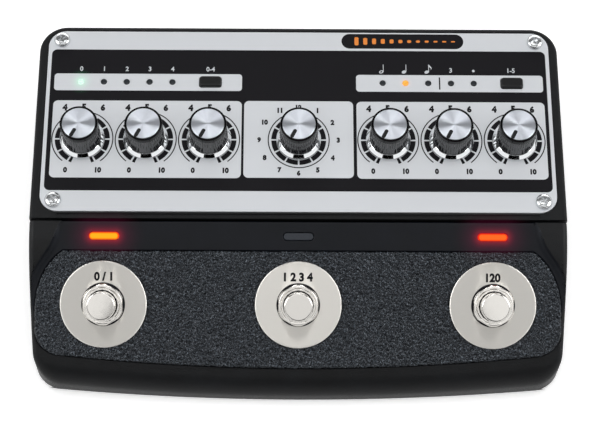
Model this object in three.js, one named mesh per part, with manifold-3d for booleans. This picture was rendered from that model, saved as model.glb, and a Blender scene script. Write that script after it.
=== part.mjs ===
// A floor-standing delay unit for stage use: a cast housing in two shells, a printed control panel
// with seven knobs, and a sloping tread deck with three foot switches.
// Millimetres, +Z up, the player stands at -Y. The origin is on the floor under the middle of the body.

import * as THREE from 'three';
import { mergeVertices } from 'three/addons/utils/BufferGeometryUtils.js';
import Module from 'manifold-3d';

const wasm = await Module();
wasm.setup();

// Body sizes
const body_width = 192;
const body_depth = 133.4;
const panel_top_z = 38.75;
const deck_depth = 55.6;
const deck_slope = THREE.MathUtils.degToRad(25.1);
const lip_drop = 0.85;
const seam_gap = 0.4;
const draft = THREE.MathUtils.degToRad(0.8);
const wall = 3.2;
const rear_corner = 10.6;
const front_corner = 10.4;
const front_bow_radius = 980;
const side_bow_radius = 560;
const side_bow_start = 4;
const rim_fillet = 1.2;
const side_fillet = 2;
const front_fillet = 9;

// Raised shoulders at both ends of the indicator band
const shoulder_rise = 1.7;
const shoulder_run = 33;
const shoulder_edge_margin = 12.4;
const shoulder_curve_radius = 3;
const shoulder_turn_share = 0.42;
const shoulder_bend_shares = [0.63, 0.43];
const shoulder_start_margin = 1.2;
const shoulder_end_y = 1;

// Control panel and the seat it lies in
const panel_thickness = 1.2;
const panel_corner = 6.4;
const rear_rim = 2.05;
const side_rim = 3.3;
const front_rim = 2.75;
const top_wall = 2.3;
const groove_width = 0.6;
const groove_depth = 0.5;
const groove_land = 0.95;

// Knobs, their shafts and the pots that carry them
const knob_row_share = 0.39;
const knob_shares = [0.35087, 0.59869, 0.84651];
const knob_height = 13.35;
const knob_lift = 0.5;
const skirt_radius = 8.1;
const skirt_height = 1.3;
const grip_radius = 6.95;
const grip_base = 2.4;
const knob_top_radius = 6.3;
const knob_chamfer = 0.65;
const knob_bore_depth = 3;
const knob_hollow_radius = 6.1;
const flute_depth_share = 0.05;
const shaft_radius = 3;
const shaft_reach = 6.5;
const shaft_clearance = 0.12;
const pot_bushing_wall = 0.48;
const pot_bushing_height = 2.5;
const pot_nut_radius = 5.5;
const pot_nut_height = 2;
const pot_width = 9.8;
const pot_depth = 11;
const encoder_width = 12;
const encoder_depth = 13;
const pot_height = 6.8;

// Indicator lights and small buttons in the panel
const indicator_row_share = 0.7117;
const led_shares = [-0.51299, -0.42243, -0.33187, -0.24131, -0.15075];
const led_radius = 1.1;
const guide_depth = 4;
const guide_margin = 2;
const guide_height = 2.6;
const led_proud = 0.1;
const button_width = 8;
const button_depth = 4.2;
const button_proud = 1.2;
const button_travel = 0.6;
const button_flange = 0.7;
const button_flange_height = 1;
const button_gap = 0.15;

// Tread deck
const pad_side_margin = 2.6;
const pad_rear = 10.9;
const pad_front_margin = 8.04;
const pad_recess = 1;
const pad_proud = 1;
const pad_front_corner = 9;
const pad_bow_radius = 820;
const pad_rear_curve_x = 17;
const pad_rear_curve_y = 23.5;
const pad_end_share = 0.412;
const pad_edge = 0.6;
const deck_wall = 2.4;

// Foot switches
const switch_end_margin = 24.4;
const switch_place = 29.7;
const plate_radius = 15.4;
const plate_thickness = 1;
const bushing_radius = 6;
const bushing_proud = 3.7;
const nut_across_flats = 14;
const nut_height = 2.6;
const nut_corner_radius = 7.75;
const nut_chamfer = 0.8;
const cap_radius = 5.15;
const cap_height = 9;
const cap_edge = 0.7;
const cap_sunk = 1.7;
const plunger_radius = 3.2;
const plunger_length = 9.5;
const switch_travel = 2.5;
const travel_spare = 0.6;
const switch_case_width = 16;
const switch_case_height = 12;

// Light windows in the band above the tread deck
const lens_width = 10.6;
const lens_depth = 2.6;
const lens_place = 5.6;
const lens_flange = 1;
const lens_flange_height = 1.2;
const lens_proud = 0.1;
const indicator_board_depth = 9;
const indicator_board_overhang = 9;
const chip_size = 3;
const chip_height = 0.8;

// Sockets in the rear wall
const recess_depth = 1.6;
const recess_margin = 10;
const recess_bottom = 5.2;
const recess_height = 17.4;
const recess_corner = 3;
const phone_jack_shares = [0.7605, 0.5312, 0.3021, 0.0729];
const phone_jack_width = 16;
const phone_jack_height = 13.2;
const phone_jack_length = 24;
const phone_nose_radius = 4.75;
const phone_bore_radius = 3.25;
const phone_bore_depth = 25;
const phone_nut_radius = 7.1;
const mini_jack_shares = [-0.1875, -0.3333];
const mini_jack_width = 9;
const mini_jack_height = 8.4;
const mini_jack_length = 13;
const mini_nose_radius = 3;
const mini_bore_radius = 1.8;
const mini_bore_depth = 14;
const mini_nut_radius = 4.4;
const socket_nut_height = 1.2;
const dc_jack_share = -0.7083;
const dc_jack_width = 10;
const dc_jack_height = 12.4;
const dc_jack_length = 14;
const dc_nose_radius = 4.4;
const dc_bore_radius = 2.8;
const dc_bore_depth = 10;
const dc_pin_radius = 1;
const dc_rim_radius = 5.6;
const nose_spare = 0.12;

// Base plate, feet and boards
const foot_height = 3.2;
const foot_radius = 6.5;
const foot_taper = 0.8;
const foot_inset_x = 24;
const foot_inset_y = 14.2;
const plate_gauge = 1.2;
const board_thickness = 1.6;
const board_lift = 4.2;
const board_margin = 9.6;
const board_gap = 1;
const main_board_front_margin = 11.4;
const panel_board_front_margin = 6;
const panel_board_rear_margin = 8.5;
const spacer_radius = 3;
const spacer_inset = 9;
const tact_width = 6;
const tact_height = 3.2;
const tact_stem_radius = 1.7;
const tact_stem_height = 0.9;
const tact_spare = 0.2;

// Fasteners
const screw_head_radius = 2.9;
const screw_head_height = 1.9;
const screw_radius = 1.5;
const screw_length = 6;
const screw_crown = 0.6;
const screw_gap = 0.1;
const screw_hole_gap = 0.15;
const panel_screw_inset_x = 4.9;
const panel_screw_inset_y = 4;
const boss_radius = 3.6;
const boss_reach = 4.1;
const front_boss_reach = 4.5;
const lap_length = 4;
const lap_thickness = 1.6;
const lap_bottom = 2.5;
const lap_height = 22;

// Running and seating clearances
const seat_gap = 0.2;
const fit_gap = 0.25;
const slide_gap = 0.35;
const overrun = 4;

// Facets of round shapes
const round_steps = 16;
const bore_steps = 12;
const fine_steps = 24;
const knob_steps = 24;
const small_steps = 8;
const corner_steps = 5;
const bend_steps = 9;
const pill_steps = 3;
const bow_steps = 4;
const rim_steps = 2;
const fillet_steps = 4;

// Places that follow from the sizes
const half_width = body_width / 2;
const rear_y = body_depth / 2;
const front_y = -body_depth / 2;
const seam_y = front_y + deck_depth;
const base_z = foot_height;
const plate_top_z = base_z + plate_gauge;
const top_inset = (panel_top_z - base_z) * Math.tan(draft);
const panel_seat_z = panel_top_z - panel_thickness;
const ceiling_z = panel_seat_z - top_wall;
const panel_half_width = half_width - top_inset - side_rim;
const panel_front_y = seam_y + seam_gap / 2 + front_rim;
const panel_rear_y = rear_y - top_inset - rear_rim;
const panel_depth = panel_rear_y - panel_front_y;
const knob_y = panel_front_y + knob_row_share * panel_depth;
const indicator_y = panel_front_y + indicator_row_share * panel_depth;
const lip_y = seam_y - seam_gap / 2;
const lip_z = panel_top_z - lip_drop;
const inner_rear_y = rear_y - wall;
const recess_y = rear_y - recess_depth;
const main_board_z = plate_top_z + board_lift;
const main_board_top_z = main_board_z + board_thickness;
const panel_board_top_z = ceiling_z - fit_gap - pot_height;
const panel_board_z = panel_board_top_z - board_thickness;
const deck_ceiling = -(pad_recess + deck_wall);
const plate_bottom = pad_proud + seat_gap;
const plate_top = plate_bottom + plate_thickness;
const nut_bottom = plate_top + seat_gap;
const right_knob_places = knob_shares.map((share) => share * panel_half_width);
const left_knob_places = right_knob_places.map((x) => -x).reverse();
const knob_places = [...left_knob_places, 0, ...right_knob_places];
const left_button_x = knob_places[2];
const right_button_x = knob_places[6];
const pad_half_width = half_width - pad_side_margin;
const pad_front = (lip_y - front_y - pad_front_margin) / Math.cos(deck_slope);
const shoulder_edge_x = half_width - shoulder_edge_margin;
const switch_spacing = pad_half_width - switch_end_margin;
const switch_places = [-switch_spacing, 0, switch_spacing];

// Surface finishes
const finishes = {
  black_paint: { color: 0x232427, roughness: 0.48, metalness: 0.3 },
  printed_panel: { color: 0xdadcdf, roughness: 0.4, metalness: 0.2 },
  rubber: { color: 0x2c2f33, roughness: 0.85, metalness: 0 },
  brushed_steel: { color: 0xc4c1bb, roughness: 0.3, metalness: 1 },
  chrome: { color: 0xe4e0db, roughness: 0.12, metalness: 1 },
  knob_plastic: { color: 0x1b1b1e, roughness: 0.35, metalness: 0.1 },
  black_plastic: { color: 0x18181a, roughness: 0.5, metalness: 0 },
  clear_lens: { color: 0xd8dadd, roughness: 0.2, metalness: 0 },
  red_lens: { color: 0xff8a1c, roughness: 0.2, metalness: 0 },
  circuit_board: { color: 0x1f5a38, roughness: 0.5, metalness: 0 },
  zinc: { color: 0xa9abae, roughness: 0.35, metalness: 1 },
};

const unit = new THREE.Group();
const deck = new THREE.Group();
deck.position.set(0, lip_y, lip_z);
deck.rotation.x = deck_slope;
unit.add(deck);
unit.updateMatrixWorld(true);

// Closed solids from three.js geometry
function solid(geometry) {
  const bare = geometry.clone();
  bare.deleteAttribute('normal');
  bare.deleteAttribute('uv');
  const merged = mergeVertices(bare);
  const index = merged.index.array;
  const corners = [];
  for (let i = 0; i < index.length; i += 3) {
    const [a, b, c] = [index[i], index[i + 1], index[i + 2]];
    if (a !== b && b !== c && c !== a) corners.push(a, b, c);
  }
  return new wasm.Manifold(new wasm.Mesh({
    numProp: 3,
    vertProperties: new Float32Array(merged.attributes.position.array),
    triVerts: new Uint32Array(corners),
  }));
}

function geometry_of(shape) {
  const mesh = shape.getMesh();
  const geometry = new THREE.BufferGeometry();
  geometry.setAttribute('position', new THREE.BufferAttribute(new Float32Array(mesh.vertProperties), 3));
  geometry.setIndex(new THREE.BufferAttribute(new Uint32Array(mesh.triVerts), 1));
  return geometry;
}

function add_piece(name, shape, finish, parent = unit) {
  const mesh = new THREE.Mesh(geometry_of(shape), new THREE.MeshStandardMaterial(finishes[finish]));
  mesh.geometry.computeVertexNormals();
  mesh.name = name;
  parent.add(mesh);
  return mesh;
}

function joined(shapes) {
  return shapes.reduce((whole, shape) => whole.add(shape));
}

function cut(shape, cutters) {
  return shape.subtract(joined(cutters));
}

function block(x0, x1, y0, y1, z0, z1) {
  const box = new THREE.BoxGeometry(x1 - x0, y1 - y0, z1 - z0);
  return solid(box.translate((x0 + x1) / 2, (y0 + y1) / 2, (z0 + z1) / 2));
}

function upright(radius, x, y, z0, z1, steps = round_steps) {
  const rod = new THREE.CylinderGeometry(radius, radius, z1 - z0, steps);
  return solid(rod.rotateX(Math.PI / 2).translate(x, y, (z0 + z1) / 2));
}

function lying(radius, x, z, y0, y1, steps = round_steps) {
  const rod = new THREE.CylinderGeometry(radius, radius, y1 - y0, steps);
  return solid(rod.translate(x, (y0 + y1) / 2, z));
}

function turned(profile, steps) {
  const points = profile.map(([radius, height]) => new THREE.Vector2(radius, height));
  return new THREE.LatheGeometry(points, steps).rotateX(Math.PI / 2);
}

function turned_solid(profile, steps = round_steps) {
  return solid(turned(profile, steps));
}

// Half outlines run from the front to the rear on the +X side, each point with its outward normal
function arc(centre_x, centre_y, radius, from, to, steps) {
  return Array.from({ length: steps + 1 }, (_, i) => {
    const angle = from + ((to - from) * i) / steps;
    const [nx, ny] = [Math.cos(angle), Math.sin(angle)];
    return { x: centre_x + radius * nx, y: centre_y + radius * ny, nx, ny };
  });
}

function lower_meeting_point(first, first_radius, second, second_radius) {
  const [dx, dy] = [second.x - first.x, second.y - first.y];
  const distance = Math.hypot(dx, dy);
  const along = (first_radius ** 2 - second_radius ** 2 + distance ** 2) / (2 * distance);
  const across = Math.sqrt(first_radius ** 2 - along ** 2);
  const foot = { x: first.x + (along * dx) / distance, y: first.y + (along * dy) / distance };
  const shift = { x: (across * dy) / distance, y: (-across * dx) / distance };
  const sign = shift.x > 0 ? 1 : -1;
  return { x: foot.x + sign * shift.x, y: foot.y + sign * shift.y };
}

function front_half(end_y) {
  const bow = { x: 0, y: front_y + front_bow_radius };
  const side = { x: half_width - side_bow_radius, y: seam_y - side_bow_start };
  const corner = lower_meeting_point(
    bow, front_bow_radius - front_corner, side, side_bow_radius - front_corner);
  const corner_start = Math.atan2(corner.y - bow.y, corner.x - bow.x);
  const corner_end = Math.atan2(corner.y - side.y, corner.x - side.x);
  return [
    ...arc(bow.x, bow.y, front_bow_radius, -Math.PI / 2, corner_start, bow_steps).slice(0, -1),
    ...arc(corner.x, corner.y, front_corner, corner_start, corner_end, corner_steps),
    ...arc(side.x, side.y, side_bow_radius, corner_end, 0, bow_steps).slice(1),
    { x: half_width, y: end_y, nx: 1, ny: 0 },
  ];
}

function rear_half(start_y) {
  return [
    { x: half_width, y: start_y, nx: 1, ny: 0 },
    ...arc(half_width - rear_corner, rear_y - rear_corner, rear_corner, 0, Math.PI / 2, corner_steps),
  ];
}

function rounded_half(x, y0, y1, radius, steps = corner_steps) {
  return [
    ...arc(x - radius, y0 + radius, radius, -Math.PI / 2, 0, steps),
    ...arc(x - radius, y1 - radius, radius, 0, Math.PI / 2, steps),
  ];
}

function ring(half, inset, height) {
  const right = half.map((point) => {
    const depth = typeof inset === 'function' ? inset(point) : inset;
    const [x, y] = [point.x - depth * point.nx, point.y - depth * point.ny];
    return new THREE.Vector3(x, y, typeof height === 'function' ? height(y, point) : height);
  });
  const left = right.map((corner) => new THREE.Vector3(-corner.x, corner.y, corner.z));
  return [...right, ...left.reverse()];
}

// A skin through rings of equal count, closed at both ends by rungs between mirrored points
function loft(rings) {
  const count = rings[0].length;
  const faces = [];
  for (let level = 0; level + 1 < rings.length; level += 1) {
    for (let i = 0; i < count; i += 1) {
      const a = level * count + i;
      const b = level * count + ((i + 1) % count);
      faces.push(a, b, b + count, a, b + count, a + count);
    }
  }
  const top = (rings.length - 1) * count;
  for (let i = 0; i + 1 < count / 2; i += 1) {
    const j = count - 1 - i;
    faces.push(i, j, j - 1, i, j - 1, i + 1);
    faces.push(top + i, top + i + 1, top + j - 1, top + i, top + j - 1, top + j);
  }
  const geometry = new THREE.BufferGeometry();
  const places = rings.flat().flatMap((corner) => [corner.x, corner.y, corner.z]);
  geometry.setAttribute('position', new THREE.Float32BufferAttribute(places, 3));
  geometry.setIndex(faces);
  return geometry;
}

function prism(half, inset, z0, z1) {
  return solid(loft([ring(half, inset, z0), ring(half, inset, z1)]));
}

function on_deck(geometry) {
  return solid(geometry.applyMatrix4(deck.matrixWorld));
}

// The deck surface, flat at its floor and swelling to a shoulder towards the seam
function deck_floor_z(y) {
  return lip_z + (y - lip_y) * Math.tan(deck_slope);
}

function shoulder_z(y) {
  const share = THREE.MathUtils.clamp((lip_y - y) / shoulder_run, 0, 1);
  const swell_share = (27 / 4) * share * (1 - share) ** 2;
  return deck_floor_z(y) + (shoulder_rise * swell_share) / Math.cos(deck_slope);
}

// One ring of the front shell's rounded upper edge, where step runs from the wall to the top
function front_edge_ring(half, step) {
  const edge = (point) => {
    const radius = side_fillet + (front_fillet - side_fillet) * Math.min(point.ny, 0) ** 2;
    const rise = Math.atan(-point.ny * Math.tan(deck_slope));
    const drawn_in = (shoulder_z(point.y) - base_z) * Math.tan(draft);
    const end_inset = drawn_in + radius * (1 - Math.sin(rise));
    const turn = (Math.PI / 2 - rise) * step;
    const centre_z = shoulder_z(point.y - point.ny * end_inset) - radius * Math.cos(rise);
    return {
      inset: drawn_in + radius * (1 - Math.cos(turn)),
      z: centre_z + radius * Math.sin(turn),
    };
  };
  return ring(half, (point) => edge(point).inset, (_, point) => edge(point).z);
}

// Outlines of the tread pad and of the sunk band between the shoulders, on the deck's own plane
function pad_half() {
  const corner_x = pad_half_width - pad_front_corner;
  const bow_y = pad_bow_radius - pad_front;
  const corner_y = bow_y - Math.sqrt((pad_bow_radius - pad_front_corner) ** 2 - corner_x ** 2);
  const corner_start = Math.atan2(corner_y - bow_y, corner_x);
  const curve_y = -pad_rear - Math.sqrt(1 - pad_end_share ** 2) * pad_rear_curve_y;
  const curve = Array.from({ length: corner_steps + 1 }, (_, i) => {
    const angle = (Math.acos(pad_end_share) * i) / corner_steps;
    const across = new THREE.Vector2(Math.cos(angle) / pad_rear_curve_x, Math.sin(angle) / pad_rear_curve_y);
    across.normalize();
    return {
      x: pad_half_width - pad_rear_curve_x * (1 - Math.cos(angle)),
      y: curve_y + pad_rear_curve_y * Math.sin(angle),
      nx: across.x,
      ny: across.y,
    };
  });
  return [
    ...arc(0, bow_y, pad_bow_radius, -Math.PI / 2, corner_start, bow_steps).slice(0, -1),
    ...arc(corner_x, corner_y, pad_front_corner, corner_start, 0, corner_steps),
    ...curve,
  ];
}

function band_half() {
  const start = new THREE.Vector2(pad_half_width + shoulder_start_margin, -pad_rear - pad_rear_curve_y);
  const end = new THREE.Vector2(shoulder_edge_x, -shoulder_end_y);
  const [first, second] = shoulder_bend_shares.map((share) => (end.y - start.y) * share);
  const bend = new THREE.CubicBezierCurve(
    start, new THREE.Vector2(start.x, start.y + first), new THREE.Vector2(end.x, end.y - second), end);
  const points = Array.from({ length: bend_steps + 1 }, (_, i) => {
    const place = bend.getPoint(i / bend_steps);
    const along = bend.getTangent(i / bend_steps);
    return { x: place.x, y: place.y, nx: along.y, ny: -along.x };
  });
  return [...points, { x: shoulder_edge_x, y: overrun, nx: 1, ny: 0 }];
}

function pill_half(length, depth, place) {
  return rounded_half(length / 2, -place - depth / 2, -place + depth / 2, depth / 2, pill_steps);
}

function lens_prism(spread, x, z0, z1) {
  const half = pill_half(lens_width + 2 * spread, lens_depth + 2 * spread, lens_place);
  return loft([ring(half, 0, z0), ring(half, 0, z1)]).translate(x, 0, 0);
}

// Places that several pieces share
function mirrored_places(x, ys) {
  return ys.flatMap((y) => [[-x, y], [x, y]]);
}

const pot_bushing_radius = shaft_radius + shaft_clearance + pot_bushing_wall;
const led_places = [left_button_x, right_button_x].map((button_x) => (
  led_shares.map((share) => button_x + share * panel_half_width)));
const panel_screw_places = mirrored_places(panel_half_width - panel_screw_inset_x,
  [panel_front_y + panel_screw_inset_y, panel_rear_y - panel_screw_inset_y]);
const foot_places = mirrored_places(half_width - foot_inset_x,
  [front_y + foot_inset_y, rear_y - foot_inset_y]);
const boss_shift = Math.SQRT1_2 * boss_reach;
const front_boss_shift = Math.SQRT1_2 * front_boss_reach;
const rear_boss = { x: half_width - rear_corner + boss_shift, y: rear_y - rear_corner + boss_shift };
const front_boss = {
  x: half_width - wall - front_corner + front_boss_shift,
  y: front_y + wall + front_corner - front_boss_shift,
};
const board_half_width = half_width - wall - board_margin;
const main_board_rear_y = inner_rear_y - board_gap;
const main_board_front_y = seam_y + main_board_front_margin;

// The two cast shells
function rear_shell() {
  const half = rear_half(seam_y + seam_gap / 2);
  const edge_z = panel_top_z - rim_fillet;
  const rings = [ring(half, 0, base_z)];
  for (let i = 0; i <= rim_steps; i += 1) {
    const turn = (Math.PI / 2) * (i / rim_steps);
    const inset = top_inset + rim_fillet * (1 - Math.cos(turn));
    rings.push(ring(half, inset, edge_z + rim_fillet * Math.sin(turn)));
  }
  const cavity = prism(rear_half(seam_y - overrun), wall, base_z - overrun, ceiling_z);
  return solid(loft(rings)).subtract(cavity);
}

function panel_half() {
  return rounded_half(panel_half_width, panel_front_y, panel_rear_y, panel_corner);
}

function rim_groove() {
  const y = panel_front_y - groove_land;
  const x = panel_half_width - panel_corner;
  return block(-x, x, y - groove_width, y, panel_top_z - groove_depth, panel_top_z + overrun);
}

function light_windows() {
  const half_depth = Math.max(guide_depth / 2, button_depth / 2 + button_flange) + slide_gap;
  return led_places.map((row, side) => {
    const button_x = [left_button_x, right_button_x][side];
    const x0 = row[0] - led_radius - guide_margin - slide_gap;
    const x1 = button_x + button_width / 2 + button_flange + slide_gap;
    const [y0, y1] = [indicator_y - half_depth, indicator_y + half_depth];
    return block(x0, x1, y0, y1, ceiling_z - overrun, panel_top_z);
  });
}

function socket_recess() {
  const half = rounded_half(phone_jack_shares[0] * half_width + recess_margin, base_z + recess_bottom,
    base_z + recess_bottom + recess_height, recess_corner, pill_steps);
  const bar = loft([ring(half, 0, -rear_y - overrun), ring(half, 0, -recess_y)]);
  return solid(bar.rotateX(Math.PI / 2));
}

function laps() {
  const inner_x = half_width - wall - fit_gap;
  const seam = seam_y + seam_gap / 2;
  const [z0, z1] = [plate_top_z + lap_bottom, plate_top_z + lap_bottom + lap_height];
  return [-1, 1].map((side) => {
    const [near, far] = [inner_x - lap_thickness, inner_x].map((x) => side * x);
    const root = side * (inner_x + wall / 2);
    const [front, rear] = [seam - lap_length, seam + lap_length];
    const tongue = block(Math.min(near, far), Math.max(near, far), front, rear, z0, z1);
    return tongue.add(block(Math.min(near, root), Math.max(near, root), seam, rear, z0, z1));
  });
}

function rear_housing() {
  const bosses = [-1, 1].map((side) => (
    upright(boss_radius, side * rear_boss.x, rear_boss.y, plate_top_z, ceiling_z + top_wall / 2)));
  const body = joined([rear_shell(), ...bosses, ...laps()]);
  const pot_holes = knob_places.map((x) => (
    upright(pot_bushing_radius + fit_gap, x, knob_y, ceiling_z - overrun, panel_top_z, bore_steps)));
  const panel_seat = prism(panel_half(), -fit_gap, panel_seat_z, panel_top_z + overrun);
  const screw_floor = panel_top_z - screw_length - fit_gap;
  const panel_screw_holes = panel_screw_places.map(([x, y]) => (
    upright(screw_radius + screw_hole_gap, x, y, screw_floor, panel_top_z, small_steps)));
  const base_screw_holes = [-1, 1].map((side) => screw_hole(side * rear_boss.x, rear_boss.y));
  const socket_holes = sockets.map((socket) => (
    lying(socket.nose_radius + nose_spare, socket.x, socket_axis_z(socket), inner_rear_y - overrun, rear_y,
      bore_steps)));
  return cut(body, [panel_seat, rim_groove(), socket_recess(), ...light_windows(), ...pot_holes,
    ...panel_screw_holes, ...base_screw_holes, ...socket_holes]);
}

function screw_hole(x, y) {
  const depth = screw_length + fit_gap;
  return upright(screw_radius + screw_hole_gap, x, y, base_z - overrun, base_z + depth, small_steps);
}

function band_recess() {
  const half = band_half();
  const widest = Math.PI * shoulder_turn_share;
  const rings = Array.from({ length: fillet_steps }, (_, i) => {
    const turn = (widest * i) / (fillet_steps - 1);
    return ring(half, -shoulder_curve_radius * Math.sin(turn), shoulder_curve_radius * (1 - Math.cos(turn)));
  });
  rings.push(ring(half, -shoulder_curve_radius * Math.sin(widest), overrun));
  return loft(rings);
}

function pad_seat() {
  const half = pad_half();
  return loft([ring(half, -fit_gap, -pad_recess), ring(half, -fit_gap, overrun)]);
}

function front_housing() {
  const half = front_half(lip_y);
  const rings = [ring(half, 0, base_z)];
  for (let i = 0; i <= fillet_steps; i += 1) {
    rings.push(front_edge_ring(half, i / fillet_steps));
  }
  const open_half = front_half(lip_y + overrun);
  const ceiling = (y) => deck_floor_z(y) + deck_ceiling / Math.cos(deck_slope);
  const cavity = solid(loft([ring(open_half, wall, base_z - overrun), ring(open_half, wall, ceiling)]));
  const boss_top = deck_floor_z(front_boss.y - boss_radius) - fit_gap;
  const bosses = [-1, 1].map((side) => (
    upright(boss_radius, side * front_boss.x, front_boss.y, plate_top_z, boss_top)));
  const body = joined([solid(loft(rings)).subtract(cavity), ...bosses]);
  const switch_holes = switch_places.map((x) => {
    const hole = new THREE.CylinderGeometry(
      bushing_radius + slide_gap, bushing_radius + slide_gap, 2 * overrun, round_steps);
    return on_deck(hole.rotateX(Math.PI / 2).translate(x, -switch_place, 0));
  });
  const lens_holes = switch_places.map((x) => on_deck(lens_prism(nose_spare, x, -2 * overrun, overrun)));
  const base_screw_holes = [-1, 1].map((side) => screw_hole(side * front_boss.x, front_boss.y));
  return cut(body, [on_deck(band_recess()), on_deck(pad_seat()), ...switch_holes, ...lens_holes,
    ...base_screw_holes]);
}

// The printed panel sheet
function control_panel() {
  const sheet = prism(panel_half(), 0, panel_seat_z, panel_top_z);
  const [z0, z1] = [panel_seat_z - overrun, panel_top_z + overrun];
  const pot_holes = knob_places.map((x) => (
    upright(pot_bushing_radius + fit_gap, x, knob_y, z0, z1, bore_steps)));
  const led_holes = led_places.flat().map((x) => (
    upright(led_radius + nose_spare, x, indicator_y, z0, z1, small_steps)));
  const button_slots = [left_button_x, right_button_x].map((x) => {
    const [w, d] = [button_width / 2 + button_gap, button_depth / 2 + button_gap];
    return block(x - w, x + w, indicator_y - d, indicator_y + d, z0, z1);
  });
  const screw_holes = panel_screw_places.map(([x, y]) => (
    upright(screw_radius + screw_hole_gap, x, y, z0, z1, small_steps)));
  return cut(sheet, [...pot_holes, ...led_holes, ...button_slots, ...screw_holes]);
}

// A fluted knob with its steel shaft, about its own axis with the panel's top at zero
function knob() {
  const hollow_top = knob_lift + knob_bore_depth;
  const profile = [
    [0, -shaft_reach], [shaft_radius, -shaft_reach], [shaft_radius, hollow_top],
    [knob_hollow_radius, hollow_top], [knob_hollow_radius, knob_lift], [skirt_radius, knob_lift],
    [skirt_radius, knob_lift + skirt_height], [grip_radius, grip_base],
    [knob_top_radius + knob_chamfer / 2, knob_height - knob_chamfer], [knob_top_radius, knob_height],
    [0, knob_height],
  ];
  const geometry = turned(profile, knob_steps);
  const places = geometry.attributes.position;
  const grip_rows = profile.flatMap(([, height], row) => (
    height >= grip_base && height < knob_height ? [row] : []));
  for (let step = 1; step < knob_steps; step += 2) {
    for (const row of grip_rows) {
      const i = step * profile.length + row;
      places.setX(i, places.getX(i) * (1 - flute_depth_share));
      places.setY(i, places.getY(i) * (1 - flute_depth_share));
    }
  }
  return solid(geometry);
}

// A pot or encoder under the panel: case, threaded bushing, nut and the bore its shaft turns in
function pot(width, depth) {
  const nut_z = panel_top_z + seat_gap;
  const case_top = panel_board_top_z + pot_height;
  const bore_z = panel_top_z - shaft_reach - 2 * fit_gap;
  const bushing_top = panel_top_z + pot_bushing_height;
  const body = joined([
    block(-width / 2, width / 2, -depth / 2, depth / 2, panel_board_top_z, case_top),
    upright(pot_bushing_radius, 0, 0, bore_z, bushing_top, bore_steps),
    upright(pot_nut_radius, 0, 0, nut_z, nut_z + pot_nut_height, 6),
  ]);
  const bore = upright(shaft_radius + shaft_clearance, 0, 0, bore_z, bushing_top + overrun, bore_steps);
  return body.subtract(bore);
}

// One bar of clear plastic with a round post for each light
function light_guide(row) {
  const [top, y] = [panel_seat_z - fit_gap, indicator_y];
  const [x0, x1] = [row[0] - led_radius - guide_margin, row[row.length - 1] + led_radius + guide_margin];
  const bar = block(x0, x1, y - guide_depth / 2, y + guide_depth / 2, top - guide_height, top);
  const posts = row.map((x) => (
    upright(led_radius, x, y, top - guide_height / 2, panel_top_z + led_proud, small_steps)));
  return joined([bar, ...posts]);
}

function panel_button() {
  const flange_top = panel_seat_z - seat_gap;
  const foot = panel_board_top_z + tact_height + tact_stem_height + button_travel + tact_spare;
  const [w, d] = [button_width / 2, button_depth / 2];
  const [fw, fd] = [w + button_flange, d + button_flange];
  return joined([
    block(-w, w, -d, d, foot, panel_top_z + button_proud),
    block(-fw, fw, -fd, fd, flange_top - button_flange_height, flange_top),
  ]);
}

// The tread pad with rounded upper edges
function deck_pad() {
  const half = pad_half();
  const rings = [ring(half, 0, seat_gap - pad_recess)];
  for (let i = 0; i <= rim_steps; i += 1) {
    const turn = (Math.PI / 2) * (i / rim_steps);
    rings.push(ring(half, pad_edge * (1 - Math.cos(turn)), pad_proud - pad_edge * (1 - Math.sin(turn))));
  }
  const holes = switch_places.map((x) => (
    upright(bushing_radius + slide_gap, x, -switch_place, -overrun, overrun)));
  return cut(solid(loft(rings)), holes);
}

// Foot switch pieces about the switch's own axis, with the deck floor at zero
function switch_plate() {
  const bore = bushing_radius + slide_gap;
  return turned_solid([
    [bore, plate_bottom], [plate_radius, plate_bottom], [plate_radius, plate_top],
    [bore, plate_top], [bore, plate_bottom],
  ], fine_steps);
}

function switch_nut() {
  const top = nut_bottom + nut_height;
  const hexagon = upright(nut_across_flats * Math.tan(Math.PI / 6), 0, 0, nut_bottom, top, 6);
  const rounding = turned_solid([
    [0, nut_bottom], [nut_corner_radius, nut_bottom], [nut_corner_radius, top - nut_chamfer],
    [nut_corner_radius - nut_chamfer, top], [0, top],
  ]);
  const bore = upright(bushing_radius + fit_gap, 0, 0, nut_bottom - overrun, top + overrun);
  return hexagon.intersect(rounding).subtract(bore);
}

function footswitch() {
  const case_top = deck_ceiling - seat_gap;
  const half = switch_case_width / 2;
  const cap_floor = plate_top - cap_sunk - switch_travel - travel_spare;
  const bushing_top = plate_top + bushing_proud;
  const body = joined([
    block(-half, half, -half, half, case_top - switch_case_height, case_top),
    upright(bushing_radius, 0, 0, case_top - overrun, bushing_top),
  ]);
  return cut(body, [
    upright(cap_radius + slide_gap, 0, 0, cap_floor, bushing_top + overrun),
    upright(plunger_radius + slide_gap, 0, 0, cap_floor - plunger_length, cap_floor + overrun, bore_steps),
  ]);
}

function footswitch_button() {
  const [step, top] = [plate_top - cap_sunk, plate_top + cap_height];
  const foot = step - plunger_length;
  return turned_solid([
    [0, foot], [plunger_radius, foot], [plunger_radius, step], [cap_radius, step],
    [cap_radius, top - cap_edge], [cap_radius - cap_edge / 3, top - cap_edge / 3],
    [cap_radius - cap_edge, top], [0, top],
  ]);
}

function indicator_lens() {
  const flange_top = deck_ceiling - seat_gap;
  const flange = solid(lens_prism(lens_flange, 0, flange_top - lens_flange_height, flange_top));
  return flange.add(solid(lens_prism(0, 0, flange_top - lens_flange_height / 2, lens_proud)));
}

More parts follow.
